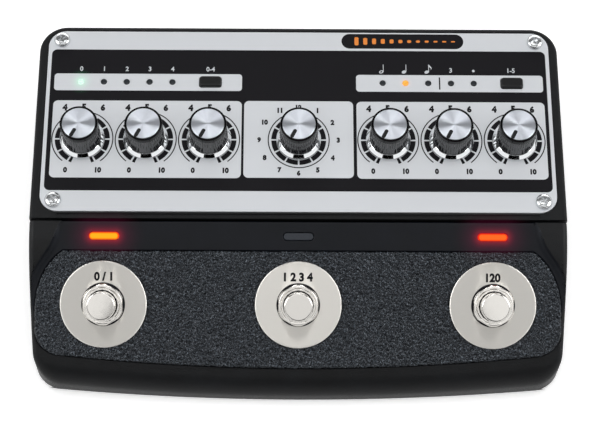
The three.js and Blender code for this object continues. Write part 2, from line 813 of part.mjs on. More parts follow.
function indicator_board() {
  const chip_top = deck_ceiling - seat_gap - lens_flange_height - fit_gap;
  const top = chip_top - chip_height;
  const x = switch_spacing + indicator_board_overhang;
  const [y0, y1] = [-lens_place - indicator_board_depth / 2, -lens_place + indicator_board_depth / 2];
  const board = block(-x, x, y0, y1, top - board_thickness, top);
  const chips = switch_places.map((place) => (
    block(place - chip_size / 2, place + chip_size / 2, -lens_place - chip_size / 2,
      -lens_place + chip_size / 2, top - board_thickness / 2, chip_top)));
  return joined([board, ...chips]);
}

// Sockets behind the rear wall
const phone_jack = {
  width: phone_jack_width, height: phone_jack_height, length: phone_jack_length,
  nose_radius: phone_nose_radius, bore_radius: phone_bore_radius, bore_depth: phone_bore_depth,
  rim_radius: phone_nut_radius, rim_steps: 6, pin_radius: 0,
};
const mini_jack = {
  width: mini_jack_width, height: mini_jack_height, length: mini_jack_length,
  nose_radius: mini_nose_radius, bore_radius: mini_bore_radius, bore_depth: mini_bore_depth,
  rim_radius: mini_nut_radius, rim_steps: 6, pin_radius: 0,
};
const dc_jack = {
  width: dc_jack_width, height: dc_jack_height, length: dc_jack_length,
  nose_radius: dc_nose_radius, bore_radius: dc_bore_radius, bore_depth: dc_bore_depth,
  rim_radius: dc_rim_radius, rim_steps: round_steps, pin_radius: dc_pin_radius,
};
const sockets = [
  ...phone_jack_shares.map((share, i) => (
    { ...phone_jack, name: `phone_jack_${i + 1}`, x: share * half_width })),
  ...mini_jack_shares.map((share, i) => (
    { ...mini_jack, name: `mini_jack_${i + 1}`, x: share * half_width })),
  { ...dc_jack, name: 'dc_jack', x: dc_jack_share * half_width },
];

function socket_axis_z(socket) {
  return main_board_top_z + socket.height / 2;
}

function socket_body(socket) {
  const { x, width, height, length } = socket;
  const z = socket_axis_z(socket);
  const case_rear = inner_rear_y - seat_gap;
  const bore_floor = rear_y - socket.bore_depth;
  const rim_y = recess_y + seat_gap;
  const body = joined([
    block(x - width / 2, x + width / 2, case_rear - length, case_rear, main_board_top_z,
      main_board_top_z + height),
    lying(socket.nose_radius, x, z, case_rear - length / 2, rear_y, bore_steps),
    lying(socket.rim_radius, x, z, rim_y, rim_y + socket_nut_height, socket.rim_steps),
  ]);
  const open = body.subtract(lying(socket.bore_radius, x, z, bore_floor, rear_y + overrun, bore_steps));
  if (socket.pin_radius === 0) return open;
  const pin_end = rear_y - socket_nut_height;
  return open.add(lying(socket.pin_radius, x, z, bore_floor - socket_nut_height, pin_end, small_steps));
}

// Base plate with its spacers, the boards and the feet
function bottom_plate() {
  const half = [...front_half(seam_y), ...rear_half(seam_y).slice(1)];
  const plate = prism(half, wall + fit_gap, base_z, plate_top_z);
  const spacer_places = mirrored_places(board_half_width - spacer_inset,
    [main_board_front_y + spacer_inset, main_board_rear_y - spacer_inset]);
  const spacers = spacer_places.map(([x, y]) => (
    upright(spacer_radius, x, y, base_z + plate_gauge / 2, main_board_z, small_steps)));
  const holes = [front_boss, rear_boss].flatMap((boss) => (
    [-1, 1].map((side) => screw_hole(side * boss.x, boss.y))));
  return cut(joined([plate, ...spacers]), holes);
}

function main_board() {
  return block(-board_half_width, board_half_width, main_board_front_y, main_board_rear_y,
    main_board_z, main_board_top_z);
}

function panel_board() {
  const [y0, y1] = [panel_front_y + panel_board_front_margin, panel_rear_y - panel_board_rear_margin];
  const board = block(-board_half_width, board_half_width, y0, y1, panel_board_z, panel_board_top_z);
  const mid = panel_board_z + board_thickness / 2;
  const tact_top = panel_board_top_z + tact_height;
  const switches = [left_button_x, right_button_x].flatMap((x) => [
    block(x - tact_width / 2, x + tact_width / 2, indicator_y - tact_width / 2,
      indicator_y + tact_width / 2, mid, tact_top),
    upright(tact_stem_radius, x, indicator_y, mid, tact_top + tact_stem_height, small_steps),
  ]);
  return joined([board, ...switches]);
}

function foot() {
  return turned_solid([
    [0, 0], [foot_radius - foot_taper, 0], [foot_radius, foot_height], [0, foot_height],
  ]);
}

// A pan head screw, its seat at zero and its shank below
function screw() {
  return turned_solid([
    [0, -screw_length], [screw_radius, -screw_length], [screw_radius, 0], [screw_head_radius, 0],
    [screw_head_radius, screw_head_height - screw_crown],
    [screw_head_radius - screw_crown, screw_head_height], [0, screw_head_height],
  ], small_steps);
}

// The housing
add_piece('rear_housing', rear_housing(), 'black_paint');
add_piece('front_housing', front_housing(), 'black_paint');
add_piece('bottom_plate', bottom_plate(), 'black_paint');
add_piece('control_panel', control_panel(), 'printed_panel');
add_piece('main_board', main_board(), 'circuit_board');
add_piece('panel_board', panel_board(), 'circuit_board');
add_piece('indicator_board', indicator_board(), 'circuit_board', deck);
add_piece('deck_pad', deck_pad(), 'rubber', deck);

foot_places.forEach(([x, y], i) => {
  add_piece(`rubber_foot_${i + 1}`, foot(), 'rubber').position.set(x, y, 0);
});
panel_screw_places.forEach(([x, y], i) => {
  add_piece(`panel_screw_${i + 1}`, screw(), 'zinc').position.set(x, y, panel_top_z + screw_gap);
});
[front_boss, rear_boss].flatMap((boss) => [[-boss.x, boss.y], [boss.x, boss.y]]).forEach(([x, y], i) => {
  const piece = add_piece(`bottom_screw_${i + 1}`, screw(), 'zinc');
  piece.position.set(x, y, base_z - screw_gap);
  piece.rotation.x = Math.PI;
});

// The controls on the panel
knob_places.forEach((x, i) => {
  const middle = x === 0;
  const number = i < knob_places.length / 2 ? i + 1 : i;
  const name = middle ? 'mode_knob' : `knob_${number}`;
  add_piece(name, knob(), 'knob_plastic').position.set(x, knob_y, panel_top_z);
  const pot_name = middle ? 'rotary_encoder' : `potentiometer_${number}`;
  const shape = middle ? pot(encoder_width, encoder_depth) : pot(pot_width, pot_depth);
  add_piece(pot_name, shape, 'zinc').position.set(x, knob_y, 0);
});
['left', 'right'].forEach((side, i) => {
  add_piece(`light_guide_${side}`, light_guide(led_places[i]), 'clear_lens');
  const button_x = [left_button_x, right_button_x][i];
  add_piece(`panel_button_${side}`, panel_button(), 'black_plastic').position.set(button_x, indicator_y, 0);
});

// The foot switches and the light windows above them
switch_places.forEach((x, i) => {
  const number = i + 1;
  const pieces = [
    add_piece(`switch_plate_${number}`, switch_plate(), 'brushed_steel', deck),
    add_piece(`switch_nut_${number}`, switch_nut(), 'chrome', deck),
    add_piece(`footswitch_${number}`, footswitch(), 'zinc', deck),
    add_piece(`footswitch_button_${number}`, footswitch_button(), 'chrome', deck),
  ];
  pieces.forEach((piece) => piece.position.set(x, -switch_place, 0));
  add_piece(`indicator_lens_${number}`, indicator_lens(), 'red_lens', deck).position.set(x, 0, 0);
});

// The sockets
sockets.forEach((socket) => {
  add_piece(socket.name, socket_body(socket), 'black_plastic');
});

export default unit;
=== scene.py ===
import math

import bmesh
import bpy
from mathutils import Matrix, Vector


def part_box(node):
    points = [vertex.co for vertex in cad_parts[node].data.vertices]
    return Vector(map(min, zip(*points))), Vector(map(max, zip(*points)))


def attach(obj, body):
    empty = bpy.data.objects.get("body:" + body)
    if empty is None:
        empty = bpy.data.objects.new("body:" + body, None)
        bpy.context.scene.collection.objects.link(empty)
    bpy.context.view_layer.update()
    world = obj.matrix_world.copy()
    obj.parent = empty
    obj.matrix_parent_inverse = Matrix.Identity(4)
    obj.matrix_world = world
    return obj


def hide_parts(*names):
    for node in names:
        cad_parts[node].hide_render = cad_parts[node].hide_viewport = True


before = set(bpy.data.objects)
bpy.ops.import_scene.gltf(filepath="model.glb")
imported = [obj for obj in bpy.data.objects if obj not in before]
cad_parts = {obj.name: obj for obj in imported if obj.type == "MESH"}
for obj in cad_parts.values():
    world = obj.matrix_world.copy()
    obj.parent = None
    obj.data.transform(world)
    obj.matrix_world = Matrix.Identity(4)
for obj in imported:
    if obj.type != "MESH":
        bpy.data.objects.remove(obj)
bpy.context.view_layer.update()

# Sizes are in millimetres, in the frame of the CAD part.
MM = 0.001
BODY_WIDTH = 192.0
BODY_DEPTH = 133.4
PANEL_TOP = 38.75
PANEL_SHEET = 1.2
DECK_DEPTH = 55.6
DECK_SLOPE = math.radians(25.1)
LIP_DROP = 0.85
SEAM_GAP = 0.4
DRAFT = math.radians(0.8)
WALL = 3.2
BASE_Z = 3.2
PLATE_GAUGE = 1.2
REAR_CORNER = 10.6
FRONT_CORNER = 10.4
FRONT_BOW = 980.0
SIDE_BOW = 560.0
SIDE_BOW_START = 4.0
RIM_FILLET = 1.2
SIDE_FILLET = 2.0
FRONT_FILLET = 9.0
SHOULDER_RISE = 1.7
SHOULDER_RUN = 33.0
SHOULDER_EDGE_X = 83.6
SHOULDER_CURVE = 3.0
SHOULDER_TURN = math.pi * 0.42
SHOULDER_BEND_SHARES = (0.63, 0.43)
PAD_HALF_WIDTH = 93.4
PAD_REAR = 10.9
PAD_FRONT = 52.3
PAD_RECESS = 1.0
PAD_CORNER = 9.0
PAD_BOW = 820.0
PAD_CURVE_X = 17.0
PAD_CURVE_Y = 23.5
PAD_END_SHARE = 0.412
PANEL_HALF_WIDTH = 92.2
PANEL_FRONT = -8.15
PANEL_REAR = 64.15
PANEL_CORNER = 6.4
KNOB_Y = 20.05
LIGHT_Y = 43.31
KNOB_XS = (-78.05, -55.2, -32.35, 0.0, 32.35, 55.2, 78.05)
SWITCH_XS = (-69.0, 0.0, 69.0)
SWITCH_PLACE = 29.7
LENS_PLACE = 5.6
LENS_LENGTH = 10.6
LENS_WIDTH = 2.6
LENS_SLACK = 0.12
GROOVE_X = 85.8
GROOVE_YS = (-9.7, -9.1)
PANEL_SCREW_X = 87.3
PANEL_SCREW_YS = (-4.15, 60.15)
FOOT_X = 72.0
FOOT_Y = 52.5
NUT_FLATS = 14.0
KEY_TO_FIRST_LIGHT = 47.3
LIGHT_PITCH = 8.35
INK = 0.03
TWO_INKS = 0.05
DIGIT_SQUEEZE = 0.95
SHARP = math.radians(40)
LIP_HALF_WIDTH = 90.0
GAP = 0.25  # clearance round what lies in a recess
FAR = 6.0  # how far a cutter stands past what it cuts

HALF_WIDTH = BODY_WIDTH / 2
REAR_Y = BODY_DEPTH / 2
FRONT_Y = -REAR_Y
SEAM_Y = FRONT_Y + DECK_DEPTH
LIP_Y = SEAM_Y - SEAM_GAP / 2
LIP_Z = PANEL_TOP - LIP_DROP
TOP_INSET = (PANEL_TOP - BASE_Z) * math.tan(DRAFT)
DECK = Matrix.Translation((0, LIP_Y, LIP_Z)) @ Matrix.Rotation(DECK_SLOPE, 4, "X")
LENS_Y = LIP_Y - LENS_PLACE * math.cos(DECK_SLOPE)
LENS_Z = LIP_Z - LENS_PLACE * math.sin(DECK_SLOPE)
LENS_HALF_RUN = (LENS_LENGTH - LENS_WIDTH) / 2
MODE_X = KNOB_XS[3]
LEFT_KEY_X, RIGHT_KEY_X = KNOB_XS[2], KNOB_XS[6]
LEFT_LIGHTS = [LEFT_KEY_X - KEY_TO_FIRST_LIGHT + LIGHT_PITCH * i for i in range(5)]
RIGHT_LIGHTS = [RIGHT_KEY_X - KEY_TO_FIRST_LIGHT + LIGHT_PITCH * i for i in range(5)]


# Shader nodes. A pattern's sizes are in millimetres, so a noise's Scale is 1 over the width of its lumps.
def linear(code):
    """An sRGB hex colour as the linear colour that a socket takes."""
    parts = [int(code[i:i + 2], 16) / 255 for i in (1, 3, 5)]
    return tuple(p / 12.92 if p <= 0.04045 else ((p + 0.055) / 1.055) ** 2.4 for p in parts) + (1.0,)


def add(tree, kind, inputs=None, **settings):
    """Adds a node with its settings, and sets or links its inputs by name or number."""
    node = tree.nodes.new(kind)
    for name, value in settings.items():
        setattr(node, name, value)
    for key, value in (inputs or {}).items():
        socket = node.inputs[key]
        if isinstance(value, bpy.types.NodeSocket):
            tree.links.new(value, socket)
        else:
            socket.default_value = value
    return node


def feed(tree, shader, **outputs):
    """Links outputs to the shader's own sockets."""
    for socket, output in outputs.items():
        tree.links.new(output, shader.inputs[socket.replace("_", " ")])


def surface(name, base, **values):
    """A material with a Principled shader whose plain values are set on its own sockets."""
    material = bpy.data.materials.new(name)
    material.use_nodes = True
    tree = material.node_tree
    shader = tree.nodes["Principled BSDF"]
    shader.inputs["Base Color"].default_value = linear(base)
    for socket, value in values.items():
        shader.inputs[socket.replace("_", " ")].default_value = value
    material.diffuse_color = linear(base)
    return material, tree, shader


def place(tree):
    """Object coordinates in millimetres."""
    coordinates = add(tree, "ShaderNodeTexCoord").outputs["Object"]
    return add(tree, "ShaderNodeVectorMath", {0: coordinates, 1: (1 / MM,) * 3}, operation="MULTIPLY").outputs[0]


def past_ends(tree, along, half_run):
    """How far a place along a lit window lies past the straight part of it."""
    distance = add(tree, "ShaderNodeMath", {0: along}, operation="ABSOLUTE").outputs[0]
    past = add(tree, "ShaderNodeMath", {0: distance, 1: half_run}, operation="SUBTRACT").outputs[0]
    return add(tree, "ShaderNodeMath", {0: past, 1: 0.0}, operation="MAXIMUM").outputs[0]


def glow(tree, shader, vector, places, strength):
    """Light painted into the surface's emission round lit windows: (x, y, z, half run, colour, reach) each, in
    millimetres.
    """
    total = None
    for x, y, z, half_run, colour, reach in places:
        away = add(tree, "ShaderNodeVectorMath", {0: vector, 1: (x, y, z)}, operation="SUBTRACT").outputs[0]
        parts = add(tree, "ShaderNodeSeparateXYZ", {0: away}).outputs
        past = past_ends(tree, parts[0], half_run)
        flat = add(tree, "ShaderNodeCombineXYZ", {0: past, 1: parts[1], 2: parts[2]}).outputs[0]
        distance = add(tree, "ShaderNodeVectorMath", {0: flat}, operation="LENGTH").outputs["Value"]
        near = add(tree, "ShaderNodeMapRange", {0: distance, 1: 0.0, 2: reach, 3: 1.0, 4: 0.0}).outputs[0]
        fade = add(tree, "ShaderNodeMath", {0: near, 1: 3.0}, operation="POWER").outputs[0]
        tint = add(tree, "ShaderNodeMix", {"Factor": fade, 6: linear("#000000"), 7: linear(colour)},
                   data_type="RGBA").outputs[2]
        if total is None:
            total = tint
        else:
            total = add(tree, "ShaderNodeMix", {"Factor": 1.0, 6: total, 7: tint}, data_type="RGBA",
                        blend_type="ADD").outputs[2]
    feed(tree, shader, Emission_Color=total)
    shader.inputs["Emission Strength"].default_value = strength


# Finishes. The two lit windows throw a bright near light and a dim wide one, the two lit lamps one light each, all
# painted into the emission of the surfaces round them.
LENS_GLOWS = [(x, LENS_Y, LENS_Z, LENS_HALF_RUN, colour, reach) for x in (SWITCH_XS[0], SWITCH_XS[2])
              for colour, reach in (("#ff2408", 5.0), ("#74123f", 13.0))]
LIGHT_GLOWS = [(LEFT_LIGHTS[0], LIGHT_Y, PANEL_TOP, 0.0, "#2cffa0", 6.0),
               (RIGHT_LIGHTS[1], LIGHT_Y, PANEL_TOP, 0.0, "#ff7a14", 3.6)]


def powder_coat(name, peel, dark, pale):
    """Powder coat on a zinc die casting: satin black, with the orange peel of cured powder, peel millimetres deep."""
    material, tree, shader = surface(name, dark, Roughness=0.42, Specular_IOR_Level=0.19)
    vector = place(tree)
    fine = add(tree, "ShaderNodeTexNoise", {"Vector": vector, "Scale": 1 / 0.45, "Detail": 3.0,
               "Roughness": 0.6}).outputs["Fac"]
    broad = add(tree, "ShaderNodeTexNoise", {"Vector": vector, "Scale": 1 / 9.0, "Detail": 2.0}).outputs["Fac"]
    shade_of = add(tree, "ShaderNodeMapRange", {0: broad, 1: 0.3, 2: 0.7, 3: 0.0, 4: 1.0}).outputs[0]
    tone = add(tree, "ShaderNodeMix", {"Factor": shade_of, 6: linear(dark), 7: linear(pale)},
               data_type="RGBA").outputs[2]
    gloss = add(tree, "ShaderNodeMapRange", {0: fine, 1: 0.3, 2: 0.7, 3: 0.36, 4: 0.5}).outputs[0]
    relief = add(tree, "ShaderNodeBump", {"Height": fine, "Strength": 0.6, "Distance": peel * MM}).outputs["Normal"]
    feed(tree, shader, Base_Color=tone, Roughness=gloss, Normal=relief)
    glow(tree, shader, vector, LENS_GLOWS, 0.5)
    return material


def tread_rubber():
    """Moulded rubber with a coarse leather grain: glossy pebbles about a millimetre across, with painted shade in the
    gaps between them and small pale patches painted on as glints.
    """
    material, tree, shader = surface("pebbled_tread_rubber", "#0a0b0d", Roughness=0.2, Specular_IOR_Level=0.42)
    shader.inputs["Specular Tint"].default_value = linear("#eaf3ff")
    vector = place(tree)
    warp = add(tree, "ShaderNodeTexNoise", {"Vector": vector, "Scale": 0.9, "Detail": 1.0}).outputs["Color"]
    bent = add(tree, "ShaderNodeVectorMath", {0: warp, 1: (0.9, 0.9, 0.9), 2: vector}, operation="MULTIPLY_ADD")
    cells = add(tree, "ShaderNodeTexVoronoi", {"Vector": bent.outputs[0], "Scale": 1.2, "Randomness": 1.0},
                feature="SMOOTH_F1")
    pebble = add(tree, "ShaderNodeMapRange", {0: cells.outputs["Distance"], 1: 0.1, 2: 0.75, 3: 1.0, 4: 0.0},
                 interpolation_type="SMOOTHSTEP").outputs[0]
    grain = add(tree, "ShaderNodeTexNoise", {"Vector": vector, "Scale": 1 / 0.4, "Detail": 2.0}).outputs["Fac"]
    faint = add(tree, "ShaderNodeMath", {0: grain, 1: 0.3}, operation="MULTIPLY").outputs[0]
    height = add(tree, "ShaderNodeMath", {0: pebble, 1: faint}, operation="ADD").outputs[0]
    # Painted shade: the gaps between pebbles are black, the pebble tops a little lighter.
    tone = add(tree, "ShaderNodeMix", {"Factor": pebble, 6: linear("#000000"), 7: linear("#080b0e")},
               data_type="RGBA").outputs[2]
    # Painted glints: small pale patches stand in for sparkles of light on the rubber.
    patches = add(tree, "ShaderNodeTexNoise", {"Vector": vector, "Scale": 1 / 0.6, "Detail": 1.0}).outputs["Fac"]
    painted_glints = add(tree, "ShaderNodeMapRange", {0: patches, 1: 0.58, 2: 0.72, 3: 0.0, 4: 1.0}).outputs[0]
    tone_with_glints = add(tree, "ShaderNodeMix", {"Factor": painted_glints, 6: tone, 7: linear("#474e55")}, data_type="RGBA").outputs[2]
    gloss = add(tree, "ShaderNodeMapRange", {0: grain, 1: 0.35, 2: 0.65, 3: 0.05, 4: 0.22}).outputs[0]
    relief = add(tree, "ShaderNodeBump", {"Height": height, "Strength": 1.0, "Distance": 0.38 * MM}).outputs["Normal"]
    feed(tree, shader, Base_Color=tone_with_glints, Roughness=gloss, Normal=relief)
    glow(tree, shader, vector, LENS_GLOWS, 0.35)
    return material


def plain(name, base, grain_size, depth, **values):
    """A smooth finish whose gloss and relief vary only with a faint grain, its sizes in millimetres."""
    material, tree, shader = surface(name, base, **values)
    vector = place(tree)
    fine = add(tree, "ShaderNodeTexNoise", {"Vector": vector, "Scale": 1 / grain_size, "Detail": 3.0}).outputs["Fac"]
    rough = shader.inputs["Roughness"].default_value
    gloss = add(tree, "ShaderNodeMapRange", {0: fine, 1: 0.3, 2: 0.7, 3: rough * 0.85, 4: rough * 1.15}).outputs[0]
    relief = add(tree, "ShaderNodeBump", {"Height": fine, "Strength": 0.2, "Distance": depth * MM}).outputs["Normal"]
    feed(tree, shader, Roughness=gloss, Normal=relief)
    return material, tree, shader, vector


def panel_enamel():
    """Silver enamel on sheet steel: nearly white, with a soft metallic sheen."""
    material, tree, shader, vector = plain("silver_panel_enamel", "#d3d6da", 0.5, 0.02, Roughness=0.42, Metallic=0.15)
    glow(tree, shader, vector, LIGHT_GLOWS, 0.4)
    return material


def printed_black():
    """Black screen print: a flat, even ink with hardly any gloss."""
    material, tree, shader, vector = plain("black_screen_print", "#100f14", 0.6, 0.01, Roughness=0.45,
                                           Specular_IOR_Level=0.12)
    glow(tree, shader, vector, LIGHT_GLOWS, 0.5)
    return material


def spun_aluminium():
    """Spun aluminium: fine rings round the axis, which draw the light out into bright and dark fans. Bright and dark
    fans are also painted into its colour round the axis, as painted highlight and shade.

    The rings are drawn about 0.15 mm apart, coarser than a lathe leaves them. They show only from close by.
    """
    material, tree, shader = surface("spun_aluminium", "#b9bec6", Metallic=1.0, Roughness=0.35, Anisotropic=0.9,
                                     Anisotropic_Rotation=0.25)
    turn = add(tree, "ShaderNodeUVMap", uv_map="turn").outputs[0]
    share = add(tree, "ShaderNodeSeparateXYZ", {0: turn}).outputs[0]
    angle = add(tree, "ShaderNodeMath", {0: share, 1: 2 * math.pi}, operation="MULTIPLY").outputs[0]
    cosine = add(tree, "ShaderNodeMath", {0: angle}, operation="COSINE").outputs[0]
    sine = add(tree, "ShaderNodeMath", {0: angle}, operation="SINE").outputs[0]
    around = add(tree, "ShaderNodeCombineXYZ", {0: cosine, 1: sine}).outputs[0]
    # Painted highlight and shade: lighter and darker fans round the axis in the colour.
    fans = add(tree, "ShaderNodeTexNoise", {"Vector": around, "Scale": 1.0, "Detail": 2.0}).outputs["Fac"]
    rings = add(tree, "ShaderNodeTexWave", {"Vector": turn, "Scale": 24.0, "Distortion": 0.6},
                bands_direction="Y").outputs["Fac"]
    painted_fan = add(tree, "ShaderNodeMapRange", {0: fans, 1: 0.35, 2: 0.65, 3: 0.0, 4: 1.0}).outputs[0]
    tone = add(tree, "ShaderNodeMix", {"Factor": painted_fan, 6: linear("#c9cdd6"), 7: linear("#dee3ea")},
               data_type="RGBA").outputs[2]
    gloss = add(tree, "ShaderNodeMapRange", {0: rings, 1: 0.0, 2: 1.0, 3: 0.3, 4: 0.4}).outputs[0]
    tangent = add(tree, "ShaderNodeTangent", direction_type="UV_MAP", uv_map="turn").outputs[0]
    relief = add(tree, "ShaderNodeBump", {"Height": rings, "Strength": 0.15, "Distance": 0.02 * MM}).outputs["Normal"]
    feed(tree, shader, Base_Color=tone, Roughness=gloss, Tangent=tangent, Normal=relief)
    return material


def brushed_steel():
    """Stainless steel plate, brushed across: fine level lines that blur what it mirrors.

    The lines are drawn about 0.2 mm wide, coarser than a brush leaves them. They show only from close by.
    """
    material, tree, shader = surface("brushed_stainless_steel", "#c9c5bf", Metallic=1.0, Roughness=0.34,
                                     Anisotropic=1.0)
    vector = place(tree)
    across = add(tree, "ShaderNodeCombineXYZ", {1: math.cos(DECK_SLOPE), 2: math.sin(DECK_SLOPE)}).outputs[0]
    stretched = add(tree, "ShaderNodeVectorMath", {0: vector, 1: (0.12, 2.6, 2.6)}, operation="MULTIPLY").outputs[0]
    lines = add(tree, "ShaderNodeTexNoise", {"Vector": stretched, "Scale": 1 / 0.6, "Detail": 3.0}).outputs["Fac"]
    gloss = add(tree, "ShaderNodeMapRange", {0: lines, 1: 0.3, 2: 0.7, 3: 0.32, 4: 0.36}).outputs[0]
    tone = add(tree, "ShaderNodeMix", {"Factor": lines, 6: linear("#e8e5df"), 7: linear("#ece9e3")},
               data_type="RGBA").outputs[2]
    relief = add(tree, "ShaderNodeBump", {"Height": lines, "Strength": 0.02, "Distance": 0.01 * MM}).outputs["Normal"]
    feed(tree, shader, Base_Color=tone, Roughness=gloss, Tangent=across, Normal=relief)
    return material


def lit_window(name, core, edge, x):
    """A clear window with a lamp behind it: hottest along its middle."""
    material, tree, shader = surface(name, "#1a0a04", Roughness=0.3, Specular_IOR_Level=0.1)
    parts = add(tree, "ShaderNodeSeparateXYZ", {0: place(tree)}).outputs
    along = add(tree, "ShaderNodeMath", {0: parts[0], 1: x}, operation="SUBTRACT").outputs[0]
    across = add(tree, "ShaderNodeMath", {0: parts[1], 1: LENS_Y}, operation="SUBTRACT").outputs[0]
    flat = add(tree, "ShaderNodeCombineXYZ", {0: past_ends(tree, along, LENS_HALF_RUN), 1: across}).outputs[0]
    away = add(tree, "ShaderNodeVectorMath", {0: flat}, operation="LENGTH").outputs["Value"]
    cool = add(tree, "ShaderNodeMapRange", {0: away, 1: 0.5, 2: 1.3, 3: 0.0, 4: 1.0},
               interpolation_type="SMOOTHSTEP").outputs[0]
    tone = add(tree, "ShaderNodeMix", {"Factor": cool, 6: linear(core), 7: linear(edge)}, data_type="RGBA").outputs[2]
    feed(tree, shader, Emission_Color=tone)
    shader.inputs["Emission Strength"].default_value = 1.0
    return material


def lit_light(name, colour, core):
    """A small lamp seen end on through its clear guide: its core shows unevenly through the plastic."""
    material, tree, shader = surface(name, "#202020", Roughness=0.3, Specular_IOR_Level=0.2)
    fine = add(tree, "ShaderNodeTexNoise", {"Vector": place(tree), "Scale": 1 / 0.7, "Detail": 2.0}).outputs["Fac"]
    share = add(tree, "ShaderNodeMapRange", {0: fine, 1: 0.35, 2: 0.65, 3: 0.0, 4: 1.0}).outputs[0]
    tone = add(tree, "ShaderNodeMix", {"Factor": share, 6: linear(colour), 7: linear(core)},
               data_type="RGBA").outputs[2]
    feed(tree, shader, Emission_Color=tone)
    shader.inputs["Emission Strength"].default_value = 1.0
    return material


def circuit_board():
    """Green solder mask over a woven glass board, with the faint lines of its tracks."""
    material, tree, shader = surface("circuit_board_mask", "#1f5a38", Roughness=0.45)
    tracks = add(tree, "ShaderNodeTexBrick", {"Vector": place(tree), "Scale": 0.4, "Color1": linear("#1d5534"),
                 "Color2": linear("#22643f"), "Mortar": linear("#2f7d50"), "Mortar Size": 0.03}).outputs["Color"]
    feed(tree, shader, Base_Color=tracks)
    return material


POWDER_COAT = powder_coat("black_powder_coat", 0.2, "#08090b", "#0d0f12")
SMOOTH_COAT = powder_coat("smooth_powder_coat", 0.03, "#070b12", "#0a0e17")
TREAD = tread_rubber()
ENAMEL = panel_enamel()
PRINT = printed_black()
ALUMINIUM = spun_aluminium()
STEEL = brushed_steel()
BOARD = circuit_board()
# Polished chrome plate: a slightly warm mirror with hardly any blur.
CHROME = plain("polished_chrome", "#dedbd6", 1.5, 0.01, Metallic=1.0, Roughness=0.09)[0]
# Bright chrome plate: the sharpest mirror on the object.
BRIGHT_CHROME = plain("bright_chrome", "#e8eaec", 1.5, 0.01, Metallic=1.0, Roughness=0.05)[0]
# Blackened steel for the dark ring put under each nut as painted shade: dark, and glints along its edges.
SHADE_RING_STEEL = plain("blackened_steel", "#232326", 0.5, 0.02, Metallic=1.0, Roughness=0.3)[0]
# Zinc plate on steel: a pale grey that mirrors softly.
ZINC = plain("zinc_plated_steel", "#cfd1d3", 0.4, 0.03, Metallic=1.0, Roughness=0.2)[0]
# Moulded ABS out of a polished mould: black with small sharp lights.
GRIP = plain("gloss_abs_knob", "#121215", 0.4, 0.01, Roughness=0.14, Specular_IOR_Level=0.75)[0]
# Moulded ABS out of an etched mould: black and satin.
BLACK_ABS = plain("black_abs", "#0d0d0f", 0.4, 0.04, Roughness=0.34, Specular_IOR_Level=0.3)[0]
# The grip's moulded ABS again, made darker and less glossy as painted shade on the cap's edge: deep black with hardly
# a light on it.
SHADED_RIM_ABS = plain("deep_gloss_abs", "#08080a", 0.4, 0.01, Roughness=0.12, Specular_IOR_Level=0.12)[0]
# Moulded rubber: dull black.
FOOT_RUBBER = plain("foot_rubber", "#161617", 0.5, 0.06, Roughness=0.75)[0]
# Screen print in two more inks: flat and even.
PALE_PRINT = plain("pale_screen_print", "#c9cdd2", 0.6, 0.01, Roughness=0.5)[0]
AMBER_PRINT = plain("amber_screen_print", "#e8820c", 0.6, 0.01, Roughness=0.5)[0]
# Moulded acrylic with no lamp lit behind it: dark grey with a soft light on it.
DARK_LIGHT = plain("unlit_light", "#2b2f33", 0.5, 0.02, Roughness=0.22, Specular_IOR_Level=0.3)[0]
DARK_WINDOW = plain("unlit_window", "#34383f", 0.5, 0.02, Roughness=0.3, Specular_IOR_Level=0.2)[0]
GREEN_LIGHT = lit_light("green_light", "#d2ffec", "#f6fffb")
AMBER_LIGHT = lit_light("amber_light", "#ff9a1e", "#ffc45a")
LEFT_WINDOW = lit_window("amber_window", "#ffb414", "#ff3a08", SWITCH_XS[0])
RIGHT_WINDOW = lit_window("orange_window", "#ff6a1c", "#f01a06", SWITCH_XS[2])


# Meshes
def show(name, data):
    """A new object in the scene."""
    thing = bpy.data.objects.new(name, data)
    bpy.context.scene.collection.objects.link(thing)
    return thing


def new_piece(name, points, faces, *materials):
    """An object whose mesh is given in millimetres."""
    mesh = bpy.data.meshes.new(name)
    mesh.from_pydata([Vector(p) * MM for p in points], [], faces)
    for material in materials:
        mesh.materials.append(material)
    return show(name, mesh)


def coat(piece, material):
    """Gives the whole mesh one material."""
    piece.data.materials.clear()
    piece.data.materials.append(material)
    return piece


def settle(piece):
    """Turns what the modifiers give into the piece's plain mesh."""
    bpy.context.view_layer.update()
    graph = bpy.context.evaluated_depsgraph_get()
    mesh = bpy.data.meshes.new_from_object(piece.evaluated_get(graph))
    piece.modifiers.clear()
    if piece.type == "MESH":
        piece.data = mesh
        return piece
    name = piece.name
    bpy.data.objects.remove(piece)
    return show(name, mesh)


def clean(piece, merge=0.0005):
    """Merges doubled points and turns the faces outwards."""
    shape = bmesh.new()
    shape.from_mesh(piece.data)
    bmesh.ops.remove_doubles(shape, verts=shape.verts, dist=merge * MM)
    bmesh.ops.dissolve_degenerate(shape, edges=shape.edges, dist=merge * MM)
    bmesh.ops.recalc_face_normals(shape, faces=shape.faces)
    shape.to_mesh(piece.data)
    shape.free()
    return piece


def move(piece, matrix):
    """Moves the mesh by a matrix given in millimetres."""
    shift = matrix.copy()
    shift.translation = matrix.translation * MM
    piece.data.transform(shift)
    return piece


def shade(piece, angle=35.0):
    """Smooth shading, broken where faces meet at more than the angle."""
    piece.data.polygons.foreach_set("use_smooth", [True] * len(piece.data.polygons))
    piece.data.set_sharp_from_angle(angle=math.radians(angle))
    weighted = piece.modifiers.new("even_normals", "WEIGHTED_NORMAL")
    weighted.keep_sharp = True
    return piece


def bevel(piece, width, segments=2, limit="ANGLE"):
    """Softens the edges by width millimetres, by their angle or by their weight."""
    edge = piece.modifiers.new("soft_edges", "BEVEL")
    edge.width = width * MM
    edge.segments = segments
    edge.limit_method = limit
    edge.angle_limit = SHARP
    edge.use_clamp_overlap = False
    edge.miter_outer = "MITER_ARC"
    return piece


